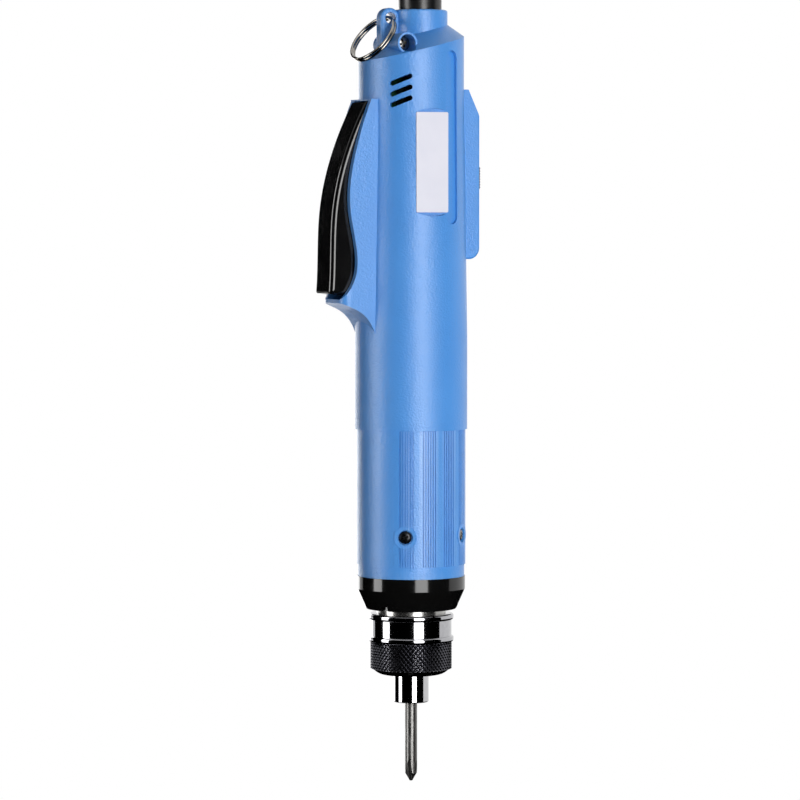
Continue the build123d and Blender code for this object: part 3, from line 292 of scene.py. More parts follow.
@dataclass(frozen=True)
class GrainedMoulding(Finish):
    """A matt moulded plastic or rubber with a fine even grain."""

    grain_mm: float = 0.5
    dust_and_highlight_colour: str = "#2B2B2E"

    def detail(self, tree: Tree, place: Socket) -> dict[str, Socket]:
        """Adds the grain and a dusty greying."""
        dust = mottle(tree, place, 5.0, 0.0, 0.5)
        inputs = {"Vector": place, "Scale": per_metre(self.grain_mm), "Detail": 3.0}
        grain = add_node(tree, "ShaderNodeTexNoise", inputs).outputs["Fac"]
        inputs = {"Height": grain, "Strength": 0.4, "Distance": 0.03 * MM}
        normal = add_node(tree, "ShaderNodeBump", inputs).outputs["Normal"]
        inputs = {0: dust, 6: linear(self.colour), 7: linear(self.dust_and_highlight_colour)}
        colour = add_node(tree, "ShaderNodeMix", inputs, data_type="RGBA").outputs[2]
        polish = mottle(tree, place, 3.0, self.roughness - 0.05, self.roughness + 0.08)
        return {"Base Color": colour, "Normal": normal, "Roughness": polish}


@dataclass(frozen=True)
class PressedPlate(Finish):
    """A bare pressed plate with a satin film on it: a faint fibre along it, and a slight yellowing.

    Attributes:
        drift_colour: the film's colour where it has yellowed.
        fibre_mm: width of a fibre. A real one is finer, drawn coarser so that it shows.
    """

    drift_colour: str = "#D0D1DE"
    fibre_mm: float = 0.5

    def detail(self, tree: Tree, place: Socket) -> dict[str, Socket]:
        """Adds the fibre of the film and its uneven colour."""
        along = add_node(tree, "ShaderNodeMapping", {"Vector": place, "Scale": (1.0, 1.0, 0.25)}).outputs["Vector"]
        drift = mottle(tree, place, 8.0, 0.0, 0.6)
        inputs = {"Vector": along, "Scale": per_metre(self.fibre_mm), "Detail": 4.0}
        fibre = add_node(tree, "ShaderNodeTexNoise", inputs).outputs["Fac"]
        inputs = {"Height": fibre, "Strength": 0.2, "Distance": 0.01 * MM}
        normal = add_node(tree, "ShaderNodeBump", inputs).outputs["Normal"]
        inputs = {0: drift, 6: linear(self.colour), 7: linear(self.drift_colour)}
        colour = add_node(tree, "ShaderNodeMix", inputs, data_type="RGBA").outputs[2]
        polish = mottle(tree, place, 2.0, self.roughness - 0.04, self.roughness + 0.06)
        return {"Base Color": colour, "Normal": normal, "Roughness": polish}


@dataclass(frozen=True)
class Machined(Finish):
    """A turned or ground metal: tool lines round or along the axis, which pull the highlight across them.

    Attributes:
        lines: the way that the tool lines run.
        line_mm: spacing of the lines. A lathe's feed is nearer 0.1 mm, drawn coarser so that it shows.
        line_depth_mm: depth of the lines.
        stain_colour: the metal's colour where it is stained.
        stain_share: how far the stains go.
    """

    lines: Direction = Direction.ROUND
    line_mm: float = 0.25
    line_depth_mm: float = 0.002
    stain_colour: str = "#5E5C58"
    stain_share: float = 0.35

    def detail(self, tree: Tree, place: Socket) -> dict[str, Socket]:
        """Adds the tool lines, uneven polish and faint handling stains."""
        squeeze = (1.0, 1.0, 0.03) if self.lines is Direction.ALONG else (0.03, 0.03, 1.0)
        along = add_node(tree, "ShaderNodeMapping", {"Vector": place, "Scale": squeeze}).outputs["Vector"]
        inputs = {"Vector": along, "Scale": per_metre(self.line_mm), "Detail": 3.0}
        cuts = add_node(tree, "ShaderNodeTexNoise", inputs).outputs["Fac"]
        inputs = {"Height": cuts, "Strength": 0.6, "Distance": self.line_depth_mm * MM}
        normal = add_node(tree, "ShaderNodeBump", inputs).outputs["Normal"]
        stain = mottle(tree, place, 2.6, 0.0, self.stain_share)
        inputs = {0: stain, 6: linear(self.colour), 7: linear(self.stain_colour)}
        colour = add_node(tree, "ShaderNodeMix", inputs, data_type="RGBA").outputs[2]
        polish = mottle(tree, place, 4.0, self.roughness * 0.8, self.roughness * 1.25)
        return {"Base Color": colour, "Normal": normal, "Roughness": polish}


@dataclass(frozen=True)
class Cast(Finish):
    """A cast or sintered metal, or a pressed ferrite: an even fine grain with darker pores."""

    grain_mm: float = 0.7
    pore_colour: str = "#33322F"

    def detail(self, tree: Tree, place: Socket) -> dict[str, Socket]:
        """Adds the grain and the pores."""
        cells = add_node(tree, "ShaderNodeTexVoronoi", {"Vector": place, "Scale": per_metre(self.grain_mm)})
        pores = mottle(tree, place, 1.1, 0.0, 0.5, detail=5.0)
        inputs = {"Height": cells.outputs["Distance"], "Strength": 0.4, "Distance": 0.03 * MM}
        normal = add_node(tree, "ShaderNodeBump", inputs).outputs["Normal"]
        inputs = {0: pores, 6: linear(self.colour), 7: linear(self.pore_colour)}
        colour = add_node(tree, "ShaderNodeMix", inputs, data_type="RGBA").outputs[2]
        return {"Base Color": colour, "Normal": normal}


@dataclass(frozen=True)
class CircuitLaminate(Finish):
    """Glass and epoxy laminate under green lacquer, with its copper showing through as squares of four tracks.

    Attributes:
        track_mm: pitch of the tracks.
        track_colour: the lacquer over copper.
    """

    track_mm: float = 1.27
    track_colour: str = "#1F6E3C"

    def detail(self, tree: Tree, place: Socket) -> dict[str, Socket]:
        """Adds the squares of copper."""
        scale = per_metre(4 * self.track_mm)
        cells = add_node(tree, "ShaderNodeTexVoronoi", {"Vector": place, "Scale": scale}, distance="CHEBYCHEV")
        # The bare laminate is the middle of a cell, out to a third of its width.
        inputs = {"Value": cells.outputs["Distance"], "From Min": 0.30, "From Max": 0.36}
        share = add_node(tree, "ShaderNodeMapRange", inputs).outputs["Result"]
        inputs = {"Height": share, "Strength": 0.5, "Distance": 0.035 * MM}
        normal = add_node(tree, "ShaderNodeBump", inputs).outputs["Normal"]
        inputs = {0: share, 6: linear(self.colour), 7: linear(self.track_colour)}
        colour = add_node(tree, "ShaderNodeMix", inputs, data_type="RGBA").outputs[2]
        return {"Base Color": colour, "Normal": normal}


# Blue ABS: satin, a little translucent to the eye, lavender where a softbox is reflected.
BLUE_ABS = SparkErodedAbs("blue_abs_spark_eroded_satin", "#428FDC", 0.44, ior=1.6, coat=0.35, coat_roughness=0.18)
# The grip also has a painted highlight: the sharp edges of its ribs are lightened to pale blue.
GRIP_ABS = SparkErodedAbs(
    "blue_abs_ribbed_grip_satin", "#428FDC", 0.44, ior=1.6, coat=0.35, coat_roughness=0.18, pit_mm=0.14, edge_highlight_share=0.45
)
# Pressed plate of the label seat: pale grey white with a soft sheen.
LABEL_FILM = PressedPlate("pale_plate_satin_film", "#D9D9E4", 0.38)
# Polished black ABS of the lever: deep black with sharp white edges of light.
LEVER_ABS = PolishedMoulding("black_abs_polished", "#09090A", 0.1, coat=0.35)
# Dark grey ABS that the thumb has dulled, and rubber that takes a soft light along the gland.
KNOB_ABS = GrainedMoulding("dark_grey_abs_ridged", "#232327", 0.45)
GLAND_RUBBER = GrainedMoulding("black_rubber_gland", "#060607", 0.3, grain_mm=0.8, dust_and_highlight_colour="#121214")
# Nickel plate on spring wire: bright, drawn lines along the wire.
RING_NICKEL = Machined("nickel_plated_spring_wire", "#A5A19A", 0.12, 1.0, line_mm=0.3)
# Bright chrome over turned steel, and black nickel on the ring that the fingers turn. The knurl is the same nickel
# painted darker: painted shade for the dark room that its diamonds mirror.
BRIGHT_CHROME = Machined("bright_chrome_turned", "#C4C4C6", 0.06, 1.0, line_depth_mm=0.0006, stain_share=0.15)
BLACK_NICKEL = Machined("black_nickel_turned", "#B4B4B7", 0.07, 1.0, line_depth_mm=0.0006, stain_colour="#8A8A8D")
KNURL_NICKEL_PAINTED_DARK = Machined("black_nickel_knurled_painted_shade", "#5C5C62", 0.24, 1.0, line_depth_mm=0.001, stain_colour="#3A3A3C")
# Black stoving enamel: thick gloss paint with a faint orange peel.
BLACK_ENAMEL = PolishedMoulding("black_stoving_enamel", "#0B0B0B", 0.09, scratch_mm=0.8)
# Hardened steel of the bit: mid grey with grinding lines along it.
BIT_STEEL = Machined(
    "hardened_steel_ground", "#8C8B89", 0.34, 1.0, lines=Direction.ALONG, line_mm=0.35, line_depth_mm=0.006
)
# Screws: nickel that shows its cross recess, and a dark one: black oxide on the clutch case, and painted shade on the
# grip screws of the -X side, dark for their holes and the dark room that they mirror.
SCREW_NICKEL = Machined("dark_nickel_screw", "#8F8E8C", 0.22, 1.0, line_depth_mm=0.001)
SCREW_OXIDE_AND_SHADE = Machined("black_oxide_and_painted_shade_screw", "#3B3B3D", 0.3, 1.0, line_depth_mm=0.001, stain_colour="#222224")
# Pieces inside the tool: bright ground steel, and springs left brown grey by the oil bath.
GROUND_STEEL = Machined("ground_steel", "#B4B3B0", 0.24, 1.0)
SPRING_STEEL = Machined("oil_tempered_spring_steel", "#6F6C68", 0.3, 1.0, lines=Direction.ALONG)
# Cast and sintered pieces: pale zinc, yellow bronze with dark pores, dull grey ferrite and carbon.
ZINC_CASTING = Cast("zinc_die_casting", "#A9ABAF", 0.42, 1.0)
SINTERED_BRONZE = Cast("sintered_bronze", "#B48A4A", 0.4, 1.0, grain_mm=0.5, pore_colour="#5D431F")
FERRITE = Cast("pressed_ferrite", "#3A393A", 0.6, grain_mm=0.6, pore_colour="#232223")
CARBON_BRUSH = Cast("carbon_graphite", "#2B2B2D", 0.5, grain_mm=0.4, pore_colour="#161617")
# Copper bars darkened under the brushes, black moulded components, green board and the sensor's glass.
TURNED_COPPER = Machined("turned_copper", "#C98A63", 0.26, 1.0, stain_colour="#7C4A30")
PHENOLIC = GrainedMoulding("black_phenolic_moulding", "#141416", 0.4, grain_mm=0.6)
BOARD = CircuitLaminate("green_lacquered_laminate", "#0F4A27", 0.3)
SENSOR_GLASS = PolishedMoulding("clear_glass_tube", "#B9CCC0", 0.05)


@dataclass(frozen=True)
class Softbox:
    """A soft lamp on a stand, set by where it shows in the tool as the camera sees it.

    Attributes:
        name: the lamp's name.
        azimuth: degrees round the tool from the camera's side, positive to the camera's right.
        width: metres across.
        distance: metres from the tool's axis.
        power: watts.
        height: metres up and down.
        middle: height of its middle, in metres.
        mirrored: whether gloss shows it.
        lighting: whether it lights matt surfaces.
        aim: metres up the axis that it points at.
    """

    name: str
    azimuth: float
    width: float
    distance: float
    power: float
    height: float = 0.64
    middle: float = 0.18
    mirrored: bool = True
    lighting: bool = True
    aim: float = 0.12

    def build(self, camera_azimuth: float) -> None:
        """Makes the lamp and turns it to the tool.

        Args:
            camera_azimuth: the camera's own azimuth.
        """
        lamp = bpy.data.lights.new(self.name, "AREA")
        lamp.shape = "RECTANGLE"
        lamp.size, lamp.size_y = self.width, self.height
        lamp.energy = self.power
        made = linked(self.name, lamp)
        away = out_from_tool(camera_azimuth + self.azimuth)
        made.location = away * self.distance + Vector((0, 0, self.middle))
        towards = Vector((0, 0, self.aim)) - made.location
        made.rotation_euler = towards.to_track_quat("-Z", "Y").to_euler()
        made.visible_camera = False
        made.visible_glossy = self.mirrored
        made.visible_diffuse = self.lighting


def out_from_tool(azimuth: float) -> Vector:
    """The level direction from the tool's axis at that azimuth: 0 is -Y and 90 is +X."""
    turn = math.radians(azimuth)
    return Vector((math.sin(turn), -math.cos(turn), 0.0))


@dataclass(frozen=True)
class Flag:
    """A curved black card that keeps the white room out of the polished metal.

    Attributes:
        name: the card's name.
        first: azimuth of one edge, as the lamps count it.
        last: azimuth of the other edge.
        radius: metres from the tool's axis.
        low: height of its lower edge, in metres.
        high: height of its upper edge.
        steps: how many flats make the curve.
    """

    name: str
    first: float
    last: float
    radius: float = 0.62
    low: float = -0.16
    high: float = 0.75
    steps: int = 24

    def build(self, camera_azimuth: float) -> None:
        """Makes the card, which only reflections can see.

        Args:
            camera_azimuth: the camera's own azimuth.
        """
        corners, faces = [], []
        for step in range(self.steps + 1):
            azimuth = camera_azimuth + self.first + (self.last - self.first) * step / self.steps
            foot = out_from_tool(azimuth) * self.radius
            corners += [foot + Vector((0, 0, self.low)), foot + Vector((0, 0, self.high))]
            if step:
                faces.append((2 * step - 2, 2 * step, 2 * step + 1, 2 * step - 1))
        black_card(mesh_object(self.name, corners, faces))


def black_card(card: Piece) -> None:
    """Finishes a card in black cloth that only reflections can see."""
    black = bpy.data.materials.get("black_card") or bpy.data.materials.new("black_card")
    tree = empty_tree(black)
    dark = add_node(tree, "ShaderNodeEmission", {"Color": linear("#000000"), "Strength": 0.0})
    add_node(tree, "ShaderNodeOutputMaterial", {"Surface": dark.outputs["Emission"]})
    card.data.materials.append(black)
    card.visible_camera = card.visible_diffuse = card.visible_shadow = False
    card.visible_transmission = card.visible_volume_scatter = False


def mesh_object(name: str, corners: Sequence[Vector | tuple], faces: Iterable[Sequence[int]]) -> Piece:
    """Makes a mesh object from corners and faces and links it to the scene.

    Args:
        name: the object's and mesh's name.
        corners: points in metres.
        faces: corner numbers of each face.

    Returns:
        The new object, at the origin.
    """
    mesh = bpy.data.meshes.new(name)
    mesh.from_pydata([tuple(corner) for corner in corners], [], [tuple(face) for face in faces])
    mesh.update()
    return linked(name, mesh)


def smooth(piece: Piece, angle: float = 32.0) -> None:
    """Shades a mesh smooth, with its corners sharper than the angle in degrees kept."""
    piece.data.shade_smooth()
    piece.data.set_sharp_from_angle(angle=math.radians(angle))


def put_on(piece: Piece, finish: Finish) -> None:
    """Takes off what a piece has on and gives it the finish."""
    piece.data.materials.clear()
    piece.data.materials.append(finish.make())
    LOG.info("%s in %s", piece.name, finish.name)


def place_piece(piece: Piece, finish: Finish, body: str, nodes: Sequence[str]) -> None:
    """Finishes a piece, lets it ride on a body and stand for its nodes.

    Args:
        piece: the built piece.
        finish: what it is made of.
        body: the CAD body that carries it.
        nodes: the CAD nodes that it stands for, if any.
    """
    put_on(piece, finish)
    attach(piece, body)
    if nodes:
        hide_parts(*nodes)
    stands_for = ", ".join(nodes) or "no node"
    LOG.info("%s on %s for %s, %d faces", piece.name, body, stands_for, len(piece.data.polygons))


class SubAssembly:
    """Nodes that are made together.

    Attributes:
        looks: the CAD nodes that each finish goes on, with spaces between.
    """

    looks: ClassVar[dict[Finish, str]] = {}

    def dress(self, nodes: dict[str, Piece]) -> None:
        """Gives the CAD nodes their finishes.

        Args:
            nodes: the frame's nodes.
        """
        for finish, names in self.looks.items():
            for name in names.split():
                put_on(nodes[name], finish)


def seen_or_mirrored(tree: Tree) -> Socket:
    """1 for rays that come from the camera, from gloss or through glass, and 0 for the rest."""
    ray = add_node(tree, "ShaderNodeLightPath").outputs
    mirrored = add_node(tree, "ShaderNodeMath", {0: ray["Is Camera Ray"], 1: ray["Is Glossy Ray"]}, operation="MAXIMUM")
    inputs = {0: mirrored.outputs["Value"], 1: ray["Is Transmission Ray"]}
    return add_node(tree, "ShaderNodeMath", inputs, operation="MAXIMUM").outputs["Value"]


@dataclass
class Studio:
    """Camera, lamps, black cards and the pale floor.

    Attributes:
        camera_azimuth: where the camera stands, round the tool.
        camera_distance: metres from the tool's axis.
        eye_height: the camera's height, in metres.
        aim_height: height that it looks at.
        aim_side: how far beside the axis it looks, to its right.
        lens: focal length, in millimetres.
        floor_z: height of the floor.
        floor_half: half the floor's width.
        floor_fade: distances between which the floor turns from its own shade to white.
        room_light: strength of the room's own light on matt surfaces.
        white_near: how white the camera sees the floor under the tool.
        card_radius: radius of the black card on the floor.
        lamps: the lamps.
        flags: the upright black cards.
    """

    camera_azimuth: float = -24.0
    camera_distance: float = 1.28
    eye_height: float = 0.161
    aim_height: float = 0.1007
    aim_side: float = -0.0037
    lens: float = 173.4
    floor_z: float = -0.15
    floor_half: float = 12.0
    floor_fade: tuple[float, float] = (0.45, 0.85)
    room_light: float = 0.09
    white_near: float = 0.9
    card_radius: float = 0.95
    lamps: tuple[Softbox, ...] = (
        Softbox("key_softbox", 22.0, 0.38, 0.8, 4.4),
        Softbox("key_sheen", 22.0, 0.38, 0.8, 2.2, lighting=False),
        Softbox("side_fill", 48.0, 0.5, 0.9, 1.9, mirrored=False),
        Softbox("left_strip", -75.0, 0.3, 0.8, 3.2, lighting=False),
        Softbox("left_fill", -60.0, 0.5, 0.9, 1.0, mirrored=False),
        Softbox("left_wall", -158.0, 0.5, 0.8, 2.0, lighting=False),
        Softbox("right_fill", 150.0, 0.8, 1.0, 3.8, height=0.9, middle=0.3, mirrored=False),
        Softbox("back_fill", -165.0, 0.8, 1.0, 3.6, height=0.9, middle=0.3, mirrored=False),
    )
    flags: tuple[Flag, ...] = (
        Flag("card_left_back", -126.0, -87.0),
        Flag("card_left_front", -64.0, 8.0),
        Flag("card_left_mid", -142.0, -124.0, radius=0.61, low=0.03),
        Flag("card_left_high", -176.0, -122.0, radius=0.6, low=0.32),
        Flag("card_right_front", 36.0, 88.0),
    )

    def build(self) -> None:
        """Builds the whole studio."""
        self.build_camera()
        self.build_floor()
        self.build_room()
        for lamp in self.lamps:
            lamp.build(self.camera_azimuth)
        for flag in self.flags:
            flag.build(self.camera_azimuth)
        self.build_floor_card()
        bpy.context.scene.view_settings.view_transform = "Standard"

    def build_camera(self) -> None:
        """Sets the camera on the photograph's side, aimed so that the tool fills the same place."""
        lens = bpy.data.cameras.new("camera")
        lens.lens = self.lens
        lens.sensor_width = 36.0
        lens.clip_start, lens.clip_end = 0.05, 50.0
        camera = linked("camera", lens)
        back = out_from_tool(self.camera_azimuth)
        right = out_from_tool(self.camera_azimuth + 90)
        camera.location = back * self.camera_distance + Vector((0, 0, self.eye_height))
        target = right * self.aim_side + Vector((0, 0, self.aim_height))
        camera.rotation_mode = "QUATERNION"
        camera.rotation_quaternion = (target - camera.location).to_track_quat("-Z", "Y")
        bpy.context.scene.camera = camera

    def build_floor(self) -> None:
        """Lays a pale floor below the hanging tool. Camera rays see it near white, with its shadow kept."""
        corners = [Vector((x, y, 0)) * self.floor_half for x, y in ((-1, -1), (1, -1), (1, 1), (-1, 1))]
        lift = Vector((0, 0, self.floor_z))
        floor = mesh_object("floor", [corner + lift for corner in corners], [(0, 1, 2, 3)])
        pale = bpy.data.materials.new("pale_floor")
        tree = empty_tree(pale)
        matt = add_node(tree, "ShaderNodeBsdfDiffuse", {"Color": linear("#ECECEC")})
        glow = add_node(tree, "ShaderNodeEmission", {"Color": linear("#FFFFFF"), "Strength": 1.0})
        place = add_node(tree, "ShaderNodeTexCoord").outputs["Object"]
        far = add_node(tree, "ShaderNodeVectorMath", {0: place}, operation="LENGTH").outputs["Value"]
        low, high = self.floor_fade
        inputs = {"Value": far, "From Min": low, "From Max": high, "To Min": self.white_near, "To Max": 1.0}
        white = add_node(tree, "ShaderNodeMapRange", inputs, interpolation_type="SMOOTHSTEP").outputs["Result"]
        seen = add_node(tree, "ShaderNodeMath", {0: seen_or_mirrored(tree), 1: white}, operation="MULTIPLY")
        inputs = {0: seen.outputs["Value"], 1: matt.outputs["BSDF"], 2: glow.outputs["Emission"]}
        both = add_node(tree, "ShaderNodeMixShader", inputs)
        add_node(tree, "ShaderNodeOutputMaterial", {"Surface": both.outputs["Shader"]})
        floor.data.materials.append(pale)

    def build_floor_card(self) -> None:
        """Lays a round black card under the tool, so that the black enamel stays black from below."""
        steps = 48
        rim = [out_from_tool(360 * step / steps) * self.card_radius for step in range(steps)]
        lift = Vector((0, 0, self.floor_z + MM))
        black_card(mesh_object("card_floor", [corner + lift for corner in rim], [range(steps)]))

    def build_room(self) -> None:
        """Makes the room: white to the eye and in polished metal, and soft on everything else."""
        room = bpy.data.worlds.new("white_room")
        bpy.context.scene.world = room
        tree = empty_tree(room)
        inputs = {"Value": seen_or_mirrored(tree), "To Min": self.room_light, "To Max": 1.0}
        strength = add_node(tree, "ShaderNodeMapRange", inputs).outputs["Result"]
        white = add_node(tree, "ShaderNodeBackground", {"Color": linear("#FFFFFF"), "Strength": strength})
        add_node(tree, "ShaderNodeOutputWorld", {"Surface": white.outputs["Background"]})


@dataclass(frozen=True)
class CrossScrew:
    """A screw with a low domed head and a cross recess, as a driver sees it.

    Attributes:
        head_r: radius of the head, in millimetres.
        head: height of the head.
        dome: how much lower the head's rim is than its middle.
        shank_r: radius of the shank.
        length: length with the head.
        slot: length of one arm of the recess, end to end.
        slot_width: width of an arm at the top.
        slot_depth: depth of the recess.
        recess_turn: degrees that the recess is turned by.
        edge: height of the head's straight edge.
        over: how far the cutting blade stands over the head.
        mouth: length and width of the blade at its top, as shares of the slot's.
        tip: the same at its bottom.
    """

    head_r: float
    head: float
    dome: float
    shank_r: float
    length: float
    slot: float
    slot_width: float
    slot_depth: float
    recess_turn: float = 20.0
    edge: float = 0.1
    over: float = 0.3
    mouth: tuple[float, float] = (1.1, 1.1)
    tip: tuple[float, float] = (0.45, 0.6)

    def build(self, name: str, top: Vector, out: Vector) -> Piece:
        """Turns the screw, cuts its recess and puts it in its place.

        Args:
            name: the screw's name.
            top: the middle of the head, in millimetres.
            out: the direction that the head faces.

        Returns:
            The screw.
        """
        rim = self.head_r - self.dome / 2
        profile = [(0.0, -self.length), (self.shank_r, -self.length), (self.shank_r, -self.head)]
        profile += [(self.head_r, -self.head), (self.head_r, -self.dome - self.edge)]
        steps = 8
        for step in range(1, steps + 1):
            turn = math.radians(90 * step / steps)
            profile.append((rim * math.cos(turn), -self.dome * (1 - math.sin(turn))))
        screw = turned(name, profile, steps=48)
        for turn in (self.recess_turn, self.recess_turn + 90):
            cut_away(screw, self.blade(turn))
        aim = out.to_track_quat("Z", "Y").to_matrix().to_4x4()
        screw.data.transform(Matrix.Translation(top * MM) @ aim)
        smooth(screw)
        return screw

    def blade(self, turn: float) -> Piece:
        """Makes one tapered arm of the recess, to cut with.

        Args:
            turn: degrees that the arm is turned about the screw.

        Returns:
            The cutting blade.
        """
        spin = Matrix.Rotation(math.radians(turn), 4, "Z")
        corners = []
        for height, long, wide in ((self.over, *self.mouth), (-self.slot_depth, *self.tip)):
            for x, y in ((-1, -1), (1, -1), (1, 1), (-1, 1)):
                corner = Vector((x * long * self.slot / 2, y * wide * self.slot_width / 2, height))
                corners.append(spin @ corner * MM)
        faces = [(0, 1, 2, 3), (7, 6, 5, 4)]
        faces += [(4 + side, 4 + (side + 1) % 4, (side + 1) % 4, side) for side in range(4)]
        return mesh_object("recess_blade", corners, faces)


def cut_away(piece: Piece, blade: Piece) -> None:
    """Cuts the blade's shape out of the piece and throws the blade away."""
    cut = piece.modifiers.new("cut", "BOOLEAN")
    cut.operation, cut.solver, cut.object = "DIFFERENCE", "EXACT", blade
    made = bpy.data.meshes.new_from_object(piece.evaluated_get(bpy.context.evaluated_depsgraph_get()))
    piece.modifiers.clear()
    piece.data = made
    bpy.data.objects.remove(blade)


def loose_parts(node: Piece) -> list[list[Vector]]:
    """Splits a node's corners into its separate solids.

    Args:
        node: the CAD node.

    Returns:
        The corners of each solid, in millimetres.
    """
    work = bmesh.new()
    work.from_mesh(node.data)
    bmesh.ops.remove_doubles(work, verts=work.verts, dist=1e-6)
    seen: set[bmesh.types.BMVert] = set()
    parts = []
    for first in work.verts:
        if first in seen:
            continue
        seen.add(first)
        part, ahead = [], [first]
        while ahead:
            corner = ahead.pop()
            part.append(corner.co / MM)
            for edge in corner.link_edges:
                other = edge.other_vert(corner)
                if other not in seen:
                    seen.add(other)
                    ahead.append(other)
        parts.append(part)
    work.free()
    return parts


@dataclass
class Housing(SubAssembly):
    """Shells, grips, label plate, screws, gland and nose cap.

    Attributes:
        shell_screw: the long screw beside the ear.
        shell_screw_proud: how far its head stands off the plain screw's, in millimetres.
        grip_screw: the short screws round the grip.
    """

    looks = {
        BLUE_ABS: "right_shell left_shell",
        GRIP_ABS: "right_grip left_grip",
        LABEL_FILM: "label_plate",
        SCREW_NICKEL: "shell_screw grip_screws",
        GLAND_RUBBER: "cord_gland",
        BLACK_ENAMEL: "nose_cap",
    }

    shell_screw: CrossScrew = CrossScrew(2.6, 3.4, 0.8, 1.25, 15.5, 3.1, 0.8, 1.2)
    shell_screw_proud: float = 1.5
    grip_screw: CrossScrew = CrossScrew(2.1, 1.1, 0.5, 1.25, 3.4, 2.7, 0.7, 0.8)

    def build_screws(self, nodes: dict[str, Piece]) -> None:
        """Puts a screw with a cross recess where each plain one lies.

        Args:
            nodes: the frame's nodes.
        """
        kinds = (("shell_screw", self.shell_screw, self.shell_screw_proud), ("grip_screws", self.grip_screw, 0.0))
        for name, kind, proud in kinds:
            for count, corners in enumerate(loose_parts(nodes[name]), 1):
                middle = sum(corners, Vector()) / len(corners)
                long = name == "shell_screw"
                out = Vector((0, -1, 0)) if long else Vector((middle.x, middle.y, 0)).normalized()
                reach = max(corner.dot(out) for corner in corners)
                level = Vector([(min(row) + max(row)) / 2 for row in zip(*corners)])
                top = level + out * (reach + proud - level.dot(out))
                screw = kind.build(f"{name}_{count}", top, out)
                # Grip screws on the -X side take the dark screw finish: painted shade for their dark holes and the dark
                # room that they mirror.
                finish = SCREW_NICKEL if long or middle.x > 0 else SCREW_OXIDE_AND_SHADE
                place_piece(screw, finish, "housing", [name])


@dataclass
class Controls(SubAssembly):
    """Start lever with its pin, spring and magnet, and the reversing knob.

    Attributes:
        ridges: how many ridges the knob has for the thumb.
        knob_length: how far the ridges reach along the knob, in millimetres.
        ridge_half: half the width of a ridge.
        cap_proud: how far the thumb piece stands off the knob.
        ridge_proud: how far the ridges stand off the thumb piece.
        ridge_sunk: how deep the thumb piece is let into the knob.
    """

    looks = {
        LEVER_ABS: "lever",
        GROUND_STEEL: "lever_pin",
        SPRING_STEEL: "lever_spring",
        FERRITE: "lever_magnet",
        KNOB_ABS: "reversing_knob",
    }

    ridges: int = 8
    knob_length: float = 7.2
    ridge_half: float = 2.95
    cap_proud: float = 1.0
    ridge_proud: float = 0.5
    ridge_sunk: float = 0.15

    def build_ridges(self) -> None:
        """Lays a thumb piece with round-topped ridges on the face of the reversing knob."""
        low, high = (Vector(corner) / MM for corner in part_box("reversing_knob"))
        foot = (low.z + high.z - self.knob_length) / 2
        pitch = self.knob_length / self.ridges
        steps = 6
        section = [(high.x - self.ridge_sunk, foot)]
        for ridge in range(self.ridges):
            for step in range(steps + 1):
                turn = math.pi * step / steps
                reach = high.x + self.cap_proud + self.ridge_proud * math.sin(turn)
                section.append((reach, foot + (ridge + 0.5 - 0.5 * math.cos(turn)) * pitch))
        section.append((high.x - self.ridge_sunk, foot + self.knob_length))
        count = len(section)
        corners = [Vector((x, side * self.ridge_half, z)) * MM for side in (-1, 1) for x, z in section]
        faces = [(step, (step + 1) % count, count + (step + 1) % count, count + step) for step in range(count)]
        faces += [tuple(reversed(range(count))), tuple(range(count, 2 * count))]
        ridges = mesh_object("reversing_knob_ridges", corners, faces)
        tidy_mesh(ridges)
        smooth(ridges)
        place_piece(ridges, KNOB_ABS, "reversing_knob", [])


@dataclass
class SplitRing:
    """Hanging ring of flattened spring wire, wound twice round and lying coil on coil.

    Attributes:
        coil_r: radius to the middle of the wire, in millimetres.
        wire_width: width of the wire across the ring.
        wire_height: height of one coil along the ring's axis.
        ear: the hole that it hangs in.
        hang: degrees below level that it hangs at.
        twist: degrees that it leans towards -Y.
        jog_from: share of the wire's length at which it steps over to the second coil.
        jog_over: share of its length that the step takes.
        square: powers that square off the wire's section across and up, 1 for round.
        end_scale: size of the wire's ends, as a share of its section.
        blunt: how soon the wire is full behind its ends.
    """

    coil_r: float = 8.8
    wire_width: float = 1.1
    wire_height: float = 1.0
    ear: tuple[float, float, float] = (-8.1, 0.0, 227.0)
    hang: float = 51.0
    twist: float = 10.0
    jog_from: float = 0.44
    jog_over: float = 0.12
    square: tuple[float, float] = (0.8, 0.7)
    end_scale: float = 0.75
    blunt: float = 1.5

    def build(self) -> None:
        """Winds the wire and lets it ride on its body."""
        hang, twist = math.radians(self.hang), math.radians(self.twist)
        reach = Vector((-math.cos(hang), 0, -math.sin(hang)))
        level = Vector((math.sin(hang), 0, -math.cos(hang)))
        normal = level * math.cos(twist) + Vector((0, 1, 0)) * math.sin(twist)
        across = normal.cross(reach)
        centre = Vector(self.ear) + reach * self.coil_r
        steps, around = 288, 16
        corners, faces = [], []
        for step in range(steps + 1):
            share = step / steps
            angle = 4 * math.pi * share
            jog = min(1.0, max(0.0, (share - self.jog_from) / self.jog_over))
            lift = (jog * jog * (3 - 2 * jog) - 0.5) * self.wire_height
            out = reach * math.cos(angle) + across * math.sin(angle)
            end = min(1.0, step * self.blunt / around, (steps - step) * self.blunt / around)
            scale = self.end_scale + (1 - self.end_scale) * end
            for part in range(around):
                turn = 2 * math.pi * part / around
                wide = math.copysign(abs(math.cos(turn)) ** self.square[0], math.cos(turn)) * self.wire_width / 2
                tall = math.copysign(abs(math.sin(turn)) ** self.square[1], math.sin(turn)) * self.wire_height / 2
                corners.append((centre + out * (self.coil_r + wide * scale) + normal * (lift + tall * scale)) * MM)
        for step in range(steps):
            for part in range(around):
                low, high = step * around, (step + 1) * around
                near, far = part, (part + 1) % around
                faces.append((low + near, low + far, high + far, high + near))
        faces.append(tuple(reversed(range(around))))
        faces.append(tuple(range(steps * around, (steps + 1) * around)))
        ring = mesh_object("split_ring", corners, faces)
        smooth(ring, angle=50.0)
        place_piece(ring, RING_NICKEL, "hanging_ring", ["hanging_ring"])


